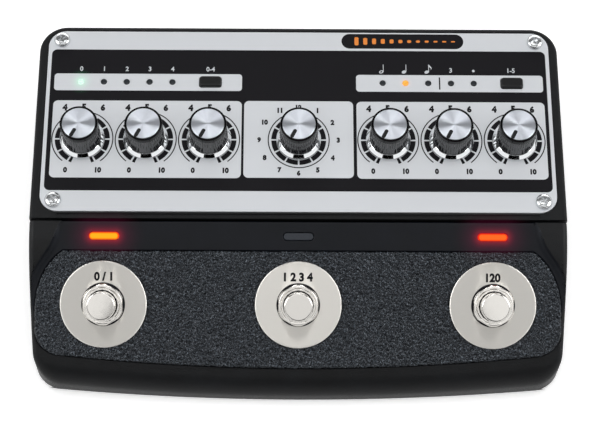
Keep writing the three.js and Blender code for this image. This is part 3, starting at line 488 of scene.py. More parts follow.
def bevel_casting(piece, width, lip_width):
    """Soft edges all over a casting, wider along its top edge at the seam, short of the corners."""
    shape = bmesh.new()
    shape.from_mesh(piece.data)
    weight = shape.edges.layers.float.new("bevel_weight_edge")
    for edge in shape.edges:
        if len(edge.link_faces) == 2 and edge.calc_face_angle() > SHARP:
            at_lip = all(abs(v.co.y / MM - LIP_Y) < 0.01 and v.co.z / MM > LIP_Z - 1 and
                         abs(v.co.x / MM) < LIP_HALF_WIDTH for v in edge.verts)
            edge[weight] = 1.0 if at_lip else width / lip_width
    shape.to_mesh(piece.data)
    shape.free()
    return bevel(piece, lip_width, 5, "WEIGHT")


def cut(body, *cutters, operation="DIFFERENCE"):
    """Cuts the body with the cutters, whose faces bring their own material, and removes them."""
    for cutter in cutters:
        step = body.modifiers.new("cut", "BOOLEAN")
        step.operation = operation
        step.solver = "EXACT"
        step.object = cutter
        step.material_mode = "TRANSFER"
    settle(body)
    for cutter in cutters:
        bpy.data.objects.remove(cutter)
    return body


def joined(name, pieces):
    """One object from several, each face keeping its material."""
    shape = bmesh.new()
    materials = []
    for piece in pieces:
        first_face = len(shape.faces)
        shape.from_mesh(piece.data)
        shape.faces.ensure_lookup_table()
        slots = []
        for material in piece.data.materials:
            if material not in materials:
                materials.append(material)
            slots.append(materials.index(material))
        for face in shape.faces[first_face:]:
            face.material_index = slots[face.material_index]
    mesh = bpy.data.meshes.new(name)
    shape.to_mesh(mesh)
    shape.free()
    for material in materials:
        mesh.materials.append(material)
    for piece in pieces:
        bpy.data.objects.remove(piece)
    return show(name, mesh)


def arc(cx, cy, radius, start, end, steps):
    """Points of an arc, each with its outward normal."""
    angles = [start + (end - start) * i / steps for i in range(steps + 1)]
    return [(cx + radius * math.cos(a), cy + radius * math.sin(a), math.cos(a), math.sin(a)) for a in angles]


def ring(half, inset, height):
    """A closed ring from the half outline and its mirror. inset and height may be functions of the point."""
    right = []
    for x, y, nx, ny in half:
        depth = inset(x, y, nx, ny) if callable(inset) else inset
        px, py = x - depth * nx, y - depth * ny
        right.append((px, py, height(px, py, nx, ny) if callable(height) else height))
    left = [(-x, y, z) for x, y, z in reversed(right)]
    return right + left


def loft(name, rings, material):
    """A closed skin through rings of equal count, capped by rungs between mirrored points."""
    count = len(rings[0])
    faces = []
    for level in range(len(rings) - 1):
        for i in range(count):
            a, b = level * count + i, level * count + (i + 1) % count
            faces.append((a, b, b + count, a + count))
    top = (len(rings) - 1) * count
    for i in range(count // 2 - 1):
        j = count - 1 - i
        faces.append((i, j, j - 1, i + 1))
        faces.append((top + i, top + i + 1, top + j - 1, top + j))
    return clean(new_piece(name, [p for r in rings for p in r], faces, material))


def turned(name, profile, material, steps=96, centre=(0, 0)):
    """A turned piece from (radius, height) points, with its turn and height in the UV map."""
    points, faces = [], []
    rows = len(profile)
    for step in range(steps):
        angle = 2 * math.pi * step / steps
        for radius, height in profile:
            points.append((centre[0] + radius * math.cos(angle), centre[1] + radius * math.sin(angle), height))
    for step in range(steps):
        after = (step + 1) % steps
        for row in range(rows - 1):
            faces.append((step * rows + row, after * rows + row, after * rows + row + 1, step * rows + row + 1))
    piece = new_piece(name, points, faces, material)
    layer = piece.data.uv_layers.new(name="turn")
    for face in piece.data.polygons:
        step = face.index // (rows - 1)
        row = face.index % (rows - 1)
        corners = ((step, row), (step + 1, row), (step + 1, row + 1), (step, row + 1))
        for loop, (turn, level) in zip(face.loop_indices, corners):
            layer.data[loop].uv = (turn / steps, level / (rows - 1))
    return clean(piece, 0.002)


def rounded_profile(points, radius, steps=4):
    """The profile with its inner corners rounded."""
    smooth = [points[0]]
    for before, corner, after in zip(points, points[1:], points[2:]):
        here, back, on = Vector(corner), Vector(before), Vector(after)
        reach = min(radius, (back - here).length / 2, (on - here).length / 2)
        start, end = here + (back - here).normalized() * reach, here + (on - here).normalized() * reach
        for i in range(steps + 1):
            t = i / steps
            smooth.append(tuple((1 - t) ** 2 * start + 2 * t * (1 - t) * here + t ** 2 * end))
    smooth.append(points[-1])
    return smooth


def rounded_outline(x0, x1, y0, y1, radius, steps=10):
    """A closed rectangle with rounded corners."""
    radius = min(radius, (x1 - x0) / 2, (y1 - y0) / 2)
    turns = ((x1 - radius, y0 + radius, -90), (x1 - radius, y1 - radius, 0), (x0 + radius, y1 - radius, 90),
             (x0 + radius, y0 + radius, 180))
    return [p[:2] for cx, cy, start in turns
            for p in arc(cx, cy, radius, math.radians(start), math.radians(start + 90), steps)]


def circle_outline(x, y, radius, steps=32):
    """A closed circle."""
    return [p[:2] for p in arc(x, y, radius, 0, 2 * math.pi * (1 - 1 / steps), steps - 1)]


def sheet_piece(name, outlines, z0, z1, material, edge=0.0):
    """A flat piece from closed outlines, in which an outline inside another is a hole."""
    curve = bpy.data.curves.new(name, "CURVE")
    curve.dimensions = "2D"
    curve.fill_mode = "BOTH"
    curve.extrude = (z1 - z0) / 2 - edge
    curve.bevel_depth = edge
    curve.bevel_resolution = 1
    curve.offset = -edge
    for outline in outlines:
        spline = curve.splines.new("POLY")
        spline.points.add(len(outline) - 1)
        for point, (x, y) in zip(spline.points, outline):
            point.co = (x, y, 0, 1)
        spline.use_cyclic_u = True
    piece = settle(show(name, curve))
    piece.data.transform(Matrix.Scale(MM, 4) @ Matrix.Translation((0, 0, (z0 + z1) / 2)))
    return clean(coat(piece, material))


def number(text, x, y, z, height, material, weight):
    """A plain printed number, its digits height millimetres tall, centred on its place.

    weight thickens its strokes, as a share of the letter height.
    """
    words = bpy.data.curves.new("number", "FONT")
    words.body = text
    words.align_x = "CENTER"
    words.align_y = "CENTER"
    words.extrude = 0.01
    words.offset = weight
    words.resolution_u = 4
    piece = settle(show("number", words))
    xs = [v.co.x for v in piece.data.vertices]
    ys = [v.co.y for v in piece.data.vertices]
    scale = height / (max(ys) - min(ys))
    centre = Matrix.Translation((-(max(xs) + min(xs)) / 2, -(max(ys) + min(ys)) / 2, 0))
    stretch = Matrix.Diagonal((scale * DIGIT_SQUEEZE, scale, 1, 1))
    piece.data.transform(Matrix.Scale(MM, 4) @ Matrix.Translation((x, y, z)) @ stretch @ centre)
    return clean(coat(piece, material))


# Geometry trees
class Tree:
    """A geometry tree with named inputs, ending in Realize Instances and Set Material."""

    def __init__(self, name, inputs):
        self.tree = bpy.data.node_groups.new(name, "GeometryNodeTree")
        self.tree.interface.new_socket("Geometry", in_out="OUTPUT", socket_type="NodeSocketGeometry")
        self.keys = {}
        for label, kind in inputs.items():
            item = self.tree.interface.new_socket(label, in_out="INPUT", socket_type="NodeSocket" + kind)
            self.keys[label] = item.identifier
        self.inputs = self.tree.nodes.new("NodeGroupInput").outputs

    def close(self, geometry):
        """Ends the tree."""
        real = add(self.tree, "GeometryNodeRealizeInstances", {0: geometry}).outputs[0]
        coated = add(self.tree, "GeometryNodeSetMaterial", {"Geometry": real, "Material": self.inputs["Material"]})
        add(self.tree, "NodeGroupOutput", {0: coated.outputs[0]})

    def grow(self, name, **values):
        """The tree's result for these values, as a plain mesh."""
        piece = new_piece(name, [(0, 0, 0)], [])
        modifier = piece.modifiers.new("grow", "NODES")
        modifier.node_group = self.tree
        for label, value in values.items():
            modifier[self.keys[label.replace("_", " ")]] = value
        return settle(piece)


def marks_tree():
    """Marks bent round a dial: each a box whose length becomes an angle and whose width becomes a radius."""
    marks = Tree("dial_marks", {"Count": "Int", "Radius": "Float", "Width": "Float", "Sweep": "Float", "Step": "Float",
                 "Start": "Float", "Thickness": "Float", "Bends": "Int", "Material": "Material"})
    tree, given = marks.tree, marks.inputs
    size = add(tree, "ShaderNodeCombineXYZ", {0: given["Sweep"], 1: given["Width"], 2: given["Thickness"]}).outputs[0]
    box = add(tree, "GeometryNodeMeshCube", {"Size": size, "Vertices X": given["Bends"], "Vertices Y": 2,
              "Vertices Z": 2}).outputs[0]
    spot = add(tree, "ShaderNodeSeparateXYZ", {0: add(tree, "GeometryNodeInputPosition").outputs[0]}).outputs
    radius = add(tree, "ShaderNodeMath", {0: given["Radius"], 1: spot[1]}, operation="ADD").outputs[0]
    sine = add(tree, "ShaderNodeMath", {0: spot[0]}, operation="SINE").outputs[0]
    cosine = add(tree, "ShaderNodeMath", {0: spot[0]}, operation="COSINE").outputs[0]
    bent_x = add(tree, "ShaderNodeMath", {0: radius, 1: sine}, operation="MULTIPLY").outputs[0]
    bent_y = add(tree, "ShaderNodeMath", {0: radius, 1: cosine}, operation="MULTIPLY").outputs[0]
    bent = add(tree, "ShaderNodeCombineXYZ", {0: bent_x, 1: bent_y, 2: spot[2]}).outputs[0]
    mark = add(tree, "GeometryNodeSetPosition", {"Geometry": box, "Position": bent}).outputs[0]
    row = add(tree, "GeometryNodeMeshLine", {"Count": given["Count"], "Offset": (0, 0, 0)}).outputs[0]
    index = add(tree, "GeometryNodeInputIndex").outputs[0]
    steps = add(tree, "ShaderNodeMath", {0: index, 1: given["Step"]}, operation="MULTIPLY").outputs[0]
    back = add(tree, "ShaderNodeMath", {0: steps, 1: -1.0}, operation="MULTIPLY").outputs[0]
    turn = add(tree, "ShaderNodeMath", {0: back, 1: given["Start"]}, operation="SUBTRACT").outputs[0]
    rotation = add(tree, "ShaderNodeCombineXYZ", {2: turn}).outputs[0]
    marks.close(add(tree, "GeometryNodeInstanceOnPoints", {"Points": row, "Instance": mark,
                    "Rotation": rotation}).outputs[0])
    return marks


def ribs_tree():
    """Ribs round a tapered grip."""
    ribs = Tree("grip_ribs", {"Count": "Int", "Radius": "Float", "Rib Radius": "Float", "Height": "Float",
                "Lean": "Float", "Material": "Material"})
    tree, given = ribs.tree, ribs.inputs
    rib = add(tree, "GeometryNodeMeshCone", {"Vertices": 6, "Radius Top": given["Rib Radius"],
              "Radius Bottom": given["Rib Radius"], "Depth": given["Height"]}).outputs[0]
    circle = add(tree, "GeometryNodeMeshCircle", {"Vertices": given["Count"], "Radius": given["Radius"]}).outputs[0]
    index = add(tree, "GeometryNodeInputIndex").outputs[0]
    step = add(tree, "ShaderNodeMath", {0: 2 * math.pi, 1: given["Count"]}, operation="DIVIDE").outputs[0]
    turn = add(tree, "ShaderNodeMath", {0: index, 1: step}, operation="MULTIPLY").outputs[0]
    rotation = add(tree, "ShaderNodeCombineXYZ", {1: given["Lean"], 2: turn}).outputs[0]
    ribs.close(add(tree, "GeometryNodeInstanceOnPoints", {"Points": circle, "Instance": rib,
                   "Rotation": rotation}).outputs[0])
    return ribs


def corners_tree():
    """One screw at each corner of a rectangle."""
    corners = Tree("corner_screws", {"Spread X": "Float", "Spread Y": "Float", "Screw": "Object",
                   "Material": "Material"})
    tree, given = corners.tree, corners.inputs
    grid = add(tree, "GeometryNodeMeshGrid", {"Size X": given["Spread X"], "Size Y": given["Spread Y"],
               "Vertices X": 2, "Vertices Y": 2}).outputs[0]
    screw = add(tree, "GeometryNodeObjectInfo", {"Object": given["Screw"]}).outputs["Geometry"]
    corners.close(add(tree, "GeometryNodeInstanceOnPoints", {"Points": grid, "Instance": screw}).outputs[0])
    return corners


MARKS = marks_tree()
RIBS = ribs_tree()
CORNERS = corners_tree()


# Outlines of the housing
def meeting_point(first, first_radius, second, second_radius):
    """The lower of the two points at these distances from two centres."""
    dx, dy = second[0] - first[0], second[1] - first[1]
    distance = math.hypot(dx, dy)
    along = (first_radius ** 2 - second_radius ** 2 + distance ** 2) / (2 * distance)
    across = math.sqrt(first_radius ** 2 - along ** 2)
    foot = (first[0] + along * dx / distance, first[1] + along * dy / distance)
    shift = (across * dy / distance, -across * dx / distance)
    sign = 1 if shift[0] > 0 else -1
    return foot[0] + sign * shift[0], foot[1] + sign * shift[1]


def front_half(end_y):
    """Half the front housing's outline: bowed front, corner, bowed side, then straight back to end_y."""
    bow = (0.0, FRONT_Y + FRONT_BOW)
    side = (HALF_WIDTH - SIDE_BOW, SEAM_Y - SIDE_BOW_START)
    corner = meeting_point(bow, FRONT_BOW - FRONT_CORNER, side, SIDE_BOW - FRONT_CORNER)
    start = math.atan2(corner[1] - bow[1], corner[0] - bow[0])
    end = math.atan2(corner[1] - side[1], corner[0] - side[0])
    return (arc(*bow, FRONT_BOW, -math.pi / 2, start, 14)[:-1] + arc(*corner, FRONT_CORNER, start, end, 16)
            + arc(*side, SIDE_BOW, end, 0, 12)[1:] + [(HALF_WIDTH, end_y, 1, 0)])


def rear_half(start_y):
    """Half the rear housing's outline, from start_y round the corner to the middle of the back."""
    return [(HALF_WIDTH, start_y, 1, 0)] + arc(HALF_WIDTH - REAR_CORNER, REAR_Y - REAR_CORNER, REAR_CORNER, 0,
                                               math.pi / 2, 16)


def deck_z(y):
    """The height of the deck's plane."""
    return LIP_Z + (y - LIP_Y) * math.tan(DECK_SLOPE)


def shoulder_z(y):
    """The top of the front shell, which swells to a shoulder towards the seam."""
    share = min(max((LIP_Y - y) / SHOULDER_RUN, 0.0), 1.0)
    return deck_z(y) + SHOULDER_RISE * 6.75 * share * (1 - share) ** 2 / math.cos(DECK_SLOPE)


def front_edge_ring(half, step):
    """One ring of the front shell's rounded upper edge, whose radius grows from its sides to its front."""
    def edge(y, ny):
        radius = SIDE_FILLET + (FRONT_FILLET - SIDE_FILLET) * min(ny, 0.0) ** 2
        rise = math.atan(-ny * math.tan(DECK_SLOPE))
        drawn_in = (shoulder_z(y) - BASE_Z) * math.tan(DRAFT)
        end_inset = drawn_in + radius * (1 - math.sin(rise))
        turn = (math.pi / 2 - rise) * step
        centre_z = shoulder_z(y - ny * end_inset) - radius * math.cos(rise)
        return drawn_in + radius * (1 - math.cos(turn)), centre_z + radius * math.sin(turn)
    right = []
    for x, y, nx, ny in half:
        depth, z = edge(y, ny)
        right.append((x - depth * nx, y - depth * ny, z))
    return right + [(-x, y, z) for x, y, z in reversed(right)]


def pad_half():
    """Half the tread pad's outline on the deck's own plane: bowed front, corner, and a side that curves in."""
    corner_x = PAD_HALF_WIDTH - PAD_CORNER
    bow_y = PAD_BOW - PAD_FRONT
    corner_y = bow_y - math.sqrt((PAD_BOW - PAD_CORNER) ** 2 - corner_x ** 2)
    start = math.atan2(corner_y - bow_y, corner_x)
    curve_y = -PAD_REAR - math.sqrt(1 - PAD_END_SHARE ** 2) * PAD_CURVE_Y
    curve = []
    for i in range(21):
        angle = math.acos(PAD_END_SHARE) * i / 20
        across = Vector((math.cos(angle) / PAD_CURVE_X, math.sin(angle) / PAD_CURVE_Y)).normalized()
        curve.append((PAD_HALF_WIDTH - PAD_CURVE_X * (1 - math.cos(angle)), curve_y + PAD_CURVE_Y * math.sin(angle),
                      across.x, across.y))
    return (arc(0, bow_y, PAD_BOW, -math.pi / 2, start, 14)[:-1] + arc(corner_x, corner_y, PAD_CORNER, start, 0, 16)
            + curve)


def band_half():
    """The outline of the sunk band between the shoulders, on the deck's own plane."""
    start = Vector((PAD_HALF_WIDTH + 1.2, -PAD_REAR - PAD_CURVE_Y))
    end = Vector((SHOULDER_EDGE_X, -1.0))
    first, second = [(end.y - start.y) * share for share in SHOULDER_BEND_SHARES]
    poles = (start, start + Vector((0, first)), end - Vector((0, second)), end)
    points = []
    for i in range(33):
        t = i / 32
        weights = ((1 - t) ** 3, 3 * t * (1 - t) ** 2, 3 * t * t * (1 - t), t ** 3)
        slopes = (-3 * (1 - t) ** 2, 3 * (1 - t) ** 2 - 6 * t * (1 - t), 6 * t * (1 - t) - 3 * t * t, 3 * t * t)
        spot = sum((w * p for w, p in zip(weights, poles)), Vector((0, 0)))
        along = sum((w * p for w, p in zip(slopes, poles)), Vector((0, 0))).normalized()
        points.append((spot.x, spot.y, along.y, -along.x))
    return points + [(SHOULDER_EDGE_X, FAR, 1, 0)]


def pill_half(length, depth, centre):
    """Half the outline of a light window."""
    radius = depth / 2
    return (arc(length / 2 - radius, centre, radius, -math.pi / 2, 0, 8)
            + arc(length / 2 - radius, centre, radius, 0, math.pi / 2, 8)[1:])


def window_hole(x):
    """The cutter for a light window's hole."""
    half = pill_half(LENS_LENGTH + 2 * LENS_SLACK, LENS_WIDTH + 2 * LENS_SLACK, -LENS_PLACE)
    hole = loft("lens_hole", [ring(half, 0, -FAR), ring(half, 0, FAR)], POWDER_COAT)
    return move(hole, DECK @ Matrix.Translation((x, 0, 0)))


def lying(name, x, z, radius, y0, y1, material, steps=48):
    """A cylinder along Y."""
    rod = turned(name, [(0, y0), (radius, y0), (radius, y1), (0, y1)], material, steps)
    return move(rod, Matrix.Translation((x, 0, z)) @ Matrix.Rotation(-math.pi / 2, 4, "X"))


# The cast shells. Each socket has its name, x, z, radius of nose, bore and nut, and the depth of its bore.
SOCKETS = [("phone_jack_1", 73.0, 16.8, 4.75, 3.25, 7.1, 25.0), ("phone_jack_2", 51.0, 16.8, 4.75, 3.25, 7.1, 25.0),
           ("phone_jack_3", 29.0, 16.8, 4.75, 3.25, 7.1, 25.0), ("phone_jack_4", 7.0, 16.8, 4.75, 3.25, 7.1, 25.0),
           ("mini_jack_1", -18.0, 14.4, 3.0, 1.8, 4.4, 14.0), ("mini_jack_2", -32.0, 14.4, 3.0, 1.8, 4.4, 14.0),
           ("dc_jack", -68.0, 16.4, 4.4, 2.8, 5.6, 10.0)]
RECESS_DEPTH = 1.6
BOARD_TOP = 10.2


def rear_shell():
    """The rear casting: a drafted box with a rounded rim, a seat for the panel and a pocket for the sockets."""
    half = rear_half(SEAM_Y + SEAM_GAP / 2)
    rings = [ring(half, 0, BASE_Z), ring(half, 0.3 * TOP_INSET, BASE_Z + 0.3 * (PANEL_TOP - BASE_Z))]
    for i in range(7):
        turn = math.pi / 2 * i / 6
        rings.append(ring(half, TOP_INSET + RIM_FILLET * (1 - math.cos(turn)),
                          PANEL_TOP - RIM_FILLET * (1 - math.sin(turn))))
    shell = loft("rear_housing_casting", rings, POWDER_COAT)
    inner = rear_half(SEAM_Y - FAR)
    cavity = loft("cavity", [ring(inner, WALL, BASE_Z - FAR), ring(inner, WALL, PANEL_TOP - 3.5)], POWDER_COAT)
    panel = rounded_outline(-PANEL_HALF_WIDTH - GAP, PANEL_HALF_WIDTH + GAP, PANEL_FRONT - GAP, PANEL_REAR + GAP,
                            PANEL_CORNER + GAP, 16)
    seat = sheet_piece("seat", [panel], PANEL_TOP - PANEL_SHEET, PANEL_TOP + FAR, POWDER_COAT)
    groove = sheet_piece("groove", [rounded_outline(-GROOVE_X, GROOVE_X, *GROOVE_YS, 0.3, 6)], PANEL_TOP - 0.5,
                         PANEL_TOP + FAR, POWDER_COAT)
    pocket = sheet_piece("pocket", [rounded_outline(-83, 83, -BASE_Z - 22.6, -BASE_Z - 5.2, 3.0)], 0, FAR, POWDER_COAT)
    move(pocket, Matrix.Translation((0, REAR_Y - RECESS_DEPTH, 0)) @ Matrix.Rotation(-math.pi / 2, 4, "X"))
    holes = [lying("hole", x, z, nose + 0.12, REAR_Y - WALL - FAR, REAR_Y + FAR, POWDER_COAT)
             for x, z, nose in (details[1:4] for details in SOCKETS)]
    cut(shell, cavity, seat, groove, pocket, *holes)
    return shade(settle(bevel(clean(shell), 0.2)))


def front_shell():
    """The front casting: a sloping top with two shoulders, a sunk band between them and a pocket for the pad."""
    half = front_half(LIP_Y)
    rings = [ring(half, 0, BASE_Z)] + [front_edge_ring(half, i / 12) for i in range(13)]
    shell = loft("front_housing_casting", rings, POWDER_COAT)
    inner = front_half(LIP_Y + FAR)
    cavity = loft("cavity", [ring(inner, WALL, BASE_Z - FAR),
                             ring(inner, WALL, lambda x, y, nx, ny: deck_z(y) - 3.4 / math.cos(DECK_SLOPE))],
                  POWDER_COAT)
    outline = band_half()
    rings = []
    for i in range(9):
        turn = SHOULDER_TURN * i / 8
        rings.append(ring(outline, -SHOULDER_CURVE * math.sin(turn), SHOULDER_CURVE * (1 - math.cos(turn)) - 0.02))
    rings.append(ring(outline, -SHOULDER_CURVE * math.sin(SHOULDER_TURN), FAR))
    band = move(loft("band", rings, SMOOTH_COAT), DECK)
    pad = pad_half()
    pocket = move(loft("pocket", [ring(pad, -GAP, -PAD_RECESS), ring(pad, -GAP, FAR)], POWDER_COAT), DECK)
    holes = [window_hole(x) for x in SWITCH_XS]
    cut(shell, cavity, band, pocket, *holes)
    return shade(settle(bevel_casting(clean(shell), 0.35, 0.9)))


def base_plate():
    """The sheet that closes both castings from below."""
    half = front_half(SEAM_Y) + rear_half(SEAM_Y)[1:]
    inset = WALL + GAP
    right = [(x - inset * nx, y - inset * ny) for x, y, nx, ny in half]
    outline = right + [(-x, y) for x, y in reversed(right[:-1]) if x > 0.01]
    return shade(sheet_piece("base_plate_sheet", [outline], BASE_Z, BASE_Z + PLATE_GAUGE, POWDER_COAT, 0.1))


def finish(piece, body, slot, *nodes):
    """Rides the piece on its body and hides the nodes of the CAD part that it stands for. slot is not used."""
    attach(piece, body)
    if nodes:
        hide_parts(*nodes)
    return piece


finish(rear_shell(), "chassis", "housing_paint", "rear_housing")
finish(front_shell(), "chassis", "housing_paint", "front_housing")
finish(base_plate(), "chassis", "housing_paint", "bottom_plate")


# The control panel and its print
def control_panel():
    """The enamelled sheet with its holes for lights, keys and pots."""
    outlines = [rounded_outline(-PANEL_HALF_WIDTH, PANEL_HALF_WIDTH, PANEL_FRONT, PANEL_REAR, PANEL_CORNER, 20)]
    outlines += [circle_outline(x, LIGHT_Y, 1.2, 24) for x in LEFT_LIGHTS + RIGHT_LIGHTS]
    outlines += [rounded_outline(x - 4.15, x + 4.15, LIGHT_Y - 2.25, LIGHT_Y + 2.25, 1.0, 6)
                 for x in (LEFT_KEY_X, RIGHT_KEY_X)]
    outlines += [circle_outline(x, KNOB_Y, 3.85, 24) for x in KNOB_XS]
    return shade(sheet_piece("control_panel_sheet", outlines, PANEL_TOP - PANEL_SHEET, PANEL_TOP, ENAMEL, 0.08))


def black_print():
    """The black ground, in which the outlines inside it stay silver, and the capsule behind it."""
    ink = [rounded_outline(-90.85, 90.85, -0.2, 56.55, 2.0)]
    ink += [rounded_outline(-89.4, -20.75, 39.7, 46.6, 1.2), rounded_outline(21.0, 89.5, 39.7, 46.6, 1.2)]
    ink += [rounded_outline(-89.3, -20.7, 4.8, 35.6, 1.8), rounded_outline(-19.84, 19.8, 5.0, 35.7, 1.8),
            rounded_outline(21.0, 89.6, 4.8, 35.6, 1.8)]
    ink += [rounded_outline(51.35, 51.85, 40.7, 45.7, 0.1, 2), rounded_outline(15.8, 60.9, 57.5, 63.6, 3.05, 14)]
    return sheet_piece("black_print", ink, PANEL_TOP, PANEL_TOP + INK, PRINT)


def note(x, y, filled, flagged):
    """A musical note of a plain kind: an oval head, a stem and for the short one a flag."""
    head = [(x - 0.45 + 0.85 * math.cos(a) * math.cos(0.4) - 0.62 * math.sin(a) * math.sin(0.4),
             y - 1.15 + 0.85 * math.cos(a) * math.sin(0.4) + 0.62 * math.sin(a) * math.cos(0.4))
            for a in [2 * math.pi * i / 24 for i in range(24)]]
    outlines = [head]
    if not filled:
        outlines.append([(x - 0.45 + 0.5 * (px - x + 0.45), y - 1.15 + 0.5 * (py - y + 1.15)) for px, py in head])
    strokes = [outlines, [[(x + 0.18, y - 1.0), (x + 0.42, y - 1.0), (x + 0.42, y + 1.9), (x + 0.18, y + 1.9)]]]
    if flagged:
        strokes.append([[(x + 0.42, y + 1.9), (x + 0.42, y + 1.1), (x + 1.15, y + 0.35), (x + 1.0, y - 0.4),
                         (x + 1.4, y + 0.35), (x + 1.2, y + 0.95)]])
    return [sheet_piece("note", stroke, PANEL_TOP + INK, PANEL_TOP + TWO_INKS + 0.002 * i, PALE_PRINT)
            for i, stroke in enumerate(strokes)]


def pale_print():
    """Plain numbers, notes and a dot over the lights and keys."""
    def label(text, x):
        return number(text, x, 48.6, PANEL_TOP + 0.04, 1.9, PALE_PRINT, 0.025)
    pieces = [label(str(i), x) for i, x in enumerate(LEFT_LIGHTS)]
    for x, filled, flagged in zip(RIGHT_LIGHTS, (False, True, True), (False, False, True)):
        pieces += note(x, 49.0, filled, flagged)
    pieces.append(label("3", RIGHT_LIGHTS[3]))
    pieces.append(sheet_piece("dot", [circle_outline(RIGHT_LIGHTS[4], 48.4, 0.5, 16)], PANEL_TOP + INK,
                              PANEL_TOP + TWO_INKS, PALE_PRINT))
    pieces += [label("0-4", LEFT_KEY_X), label("1-5", RIGHT_KEY_X)]
    return joined("pale_print", pieces)


def capsule_print():
    """Bars that fall in height across the dark capsule."""
    bars = []
    for i in range(12):
        x = 20.6 + 3.25 * i
        tall = 3.4 * 0.84 ** i
        bars.append(rounded_outline(x, x + 1.5, 60.55 - tall / 2, 60.55 + tall / 2, 0.5, 4))
    return sheet_piece("capsule_bars", bars, PANEL_TOP + INK, PANEL_TOP + TWO_INKS, AMBER_PRINT)


def dial_print():
    """A broken ring and a thin circle round each knob. The mode knob's are closed, the others stop at two ends."""
    pieces = []
    for x in KNOB_XS:
        closed = x == MODE_X
        count, start = (12, math.radians(15)) if closed else (10, math.radians(-135))
        common = {"Thickness": INK * MM, "Material": PRINT}
        gap = math.radians(3.6)
        segments = MARKS.grow("segments", Count=count, Radius=9.0 * MM, Width=1.8 * MM, Sweep=math.radians(30) - gap,
                              Step=math.radians(30), Start=start, Bends=7, **common)
        reach = 360 if closed else 284
        circle = MARKS.grow("circle", Count=1, Radius=11.0 * MM, Width=0.4 * MM, Sweep=math.radians(reach), Step=0.0,
                            Start=0.0, Bends=97, **common)
        parts = [segments, circle]
        if not closed:
            parts.append(MARKS.grow("ends", Count=2, Radius=8.95 * MM, Width=2.1 * MM, Sweep=math.radians(6.5),
                                    Step=math.radians(311), Start=math.radians(-155.5), Bends=3, **common))
        for part in parts:
            pieces.append(move(part, Matrix.Translation((x, KNOB_Y, PANEL_TOP + INK / 2))))
    return joined("dial_marks", pieces)


def dial_numbers():
    """0 to 10 at the pot knobs, 1 to 12 round the mode knob."""
    z = PANEL_TOP + 0.01
    pieces = []
    for x in KNOB_XS:
        if x == MODE_X:
            for hour in range(1, 13):
                angle = math.radians(30 * hour)
                reach = 13.1 + 1.2 * abs(math.sin(angle))
                pieces.append(number(str(hour), reach * math.sin(angle), KNOB_Y + reach * math.cos(angle), z, 2.1,
                                     PRINT, 0.07))
            continue
        for text, dx, dy, tall in (("0", -5.6, -12.2, 2.2), ("10", 6.2, -12.2, 2.2), ("4", -6.9, 12.7, 2.7),
                                   ("5", 0.0, 12.9, 2.7), ("6", 6.9, 12.7, 2.7)):
            pieces.append(number(text, x + dx, KNOB_Y + dy, z, tall, PRINT, 0.07))
    return joined("dial_numbers", pieces)


finish(control_panel(), "chassis", "panel_print", "control_panel")
for printed in (black_print(), pale_print(), capsule_print(), dial_print(), dial_numbers()):
    finish(printed, "chassis", "panel_print")


# Lights and small buttons in the panel
def light_row(name, xs, lit, lit_material):
    """Five clear posts on one bar under the panel, one of them lit."""
    pieces = []
    for i, x in enumerate(xs):
        profile = [(0, 36.0), (1.1, 36.0), (1.1, PANEL_TOP), (0.95, PANEL_TOP + 0.07), (0.5, PANEL_TOP + 0.1),
                   (0, PANEL_TOP + 0.1)]
        pieces.append(turned("post", profile, lit_material if i == lit else DARK_LIGHT, 24, (x, LIGHT_Y)))
    x0, x1 = xs[0] - 3.1, xs[-1] + 3.1
    pieces.append(sheet_piece("bar", [rounded_outline(x0, x1, LIGHT_Y - 2, LIGHT_Y + 2, 0.3, 2)], 34.7, 37.3,
                              DARK_LIGHT))
    return shade(joined(name, pieces))


finish(light_row("left_lights", LEFT_LIGHTS, 0, GREEN_LIGHT), "chassis", "clear_lens", "light_guide_left")
finish(light_row("right_lights", RIGHT_LIGHTS, 1, AMBER_LIGHT), "chassis", "clear_lens", "light_guide_right")


def small_button(name, x):
    """A small key with a soft upper edge and a flange under the panel."""
    def outline(inset, z):
        points = rounded_outline(x - 4 + inset, x + 4 - inset, LIGHT_Y - 2.1 + inset, LIGHT_Y + 2.1 - inset,
                                 1.1 - inset * 0.6, 6)
        return [(px, py, z) for px, py in points]
    top = PANEL_TOP + 1.2
    rings = [outline(0, 36.4), outline(0, top - 0.6), outline(0.1, top - 0.3), outline(0.3, top - 0.1),
             outline(0.6, top), outline(1.1, top - 0.08)]
    count = len(rings[0])
    faces = [(level * count + i, level * count + (i + 1) % count, (level + 1) * count + (i + 1) % count,
              (level + 1) * count + i) for level in range(len(rings) - 1) for i in range(count)]
    faces.append(tuple(range((len(rings) - 1) * count, len(rings) * count)))
    faces.append(tuple(reversed(range(count))))
    key = clean(new_piece(name, [p for r in rings for p in r], faces, BLACK_ABS))
    flange = sheet_piece("flange", [rounded_outline(x - 4.7, x + 4.7, LIGHT_Y - 2.8, LIGHT_Y + 2.8, 0.8, 3)], 36.35,
                         37.35, BLACK_ABS)
    return shade(joined(name, [key, flange]))


finish(small_button("left_key", LEFT_KEY_X), "left_button_body", "black_plastic", "panel_button_left")
finish(small_button("right_key", RIGHT_KEY_X), "right_button_body", "black_plastic", "panel_button_right")


# Knobs
POINTER_TURN = math.radians(-153)


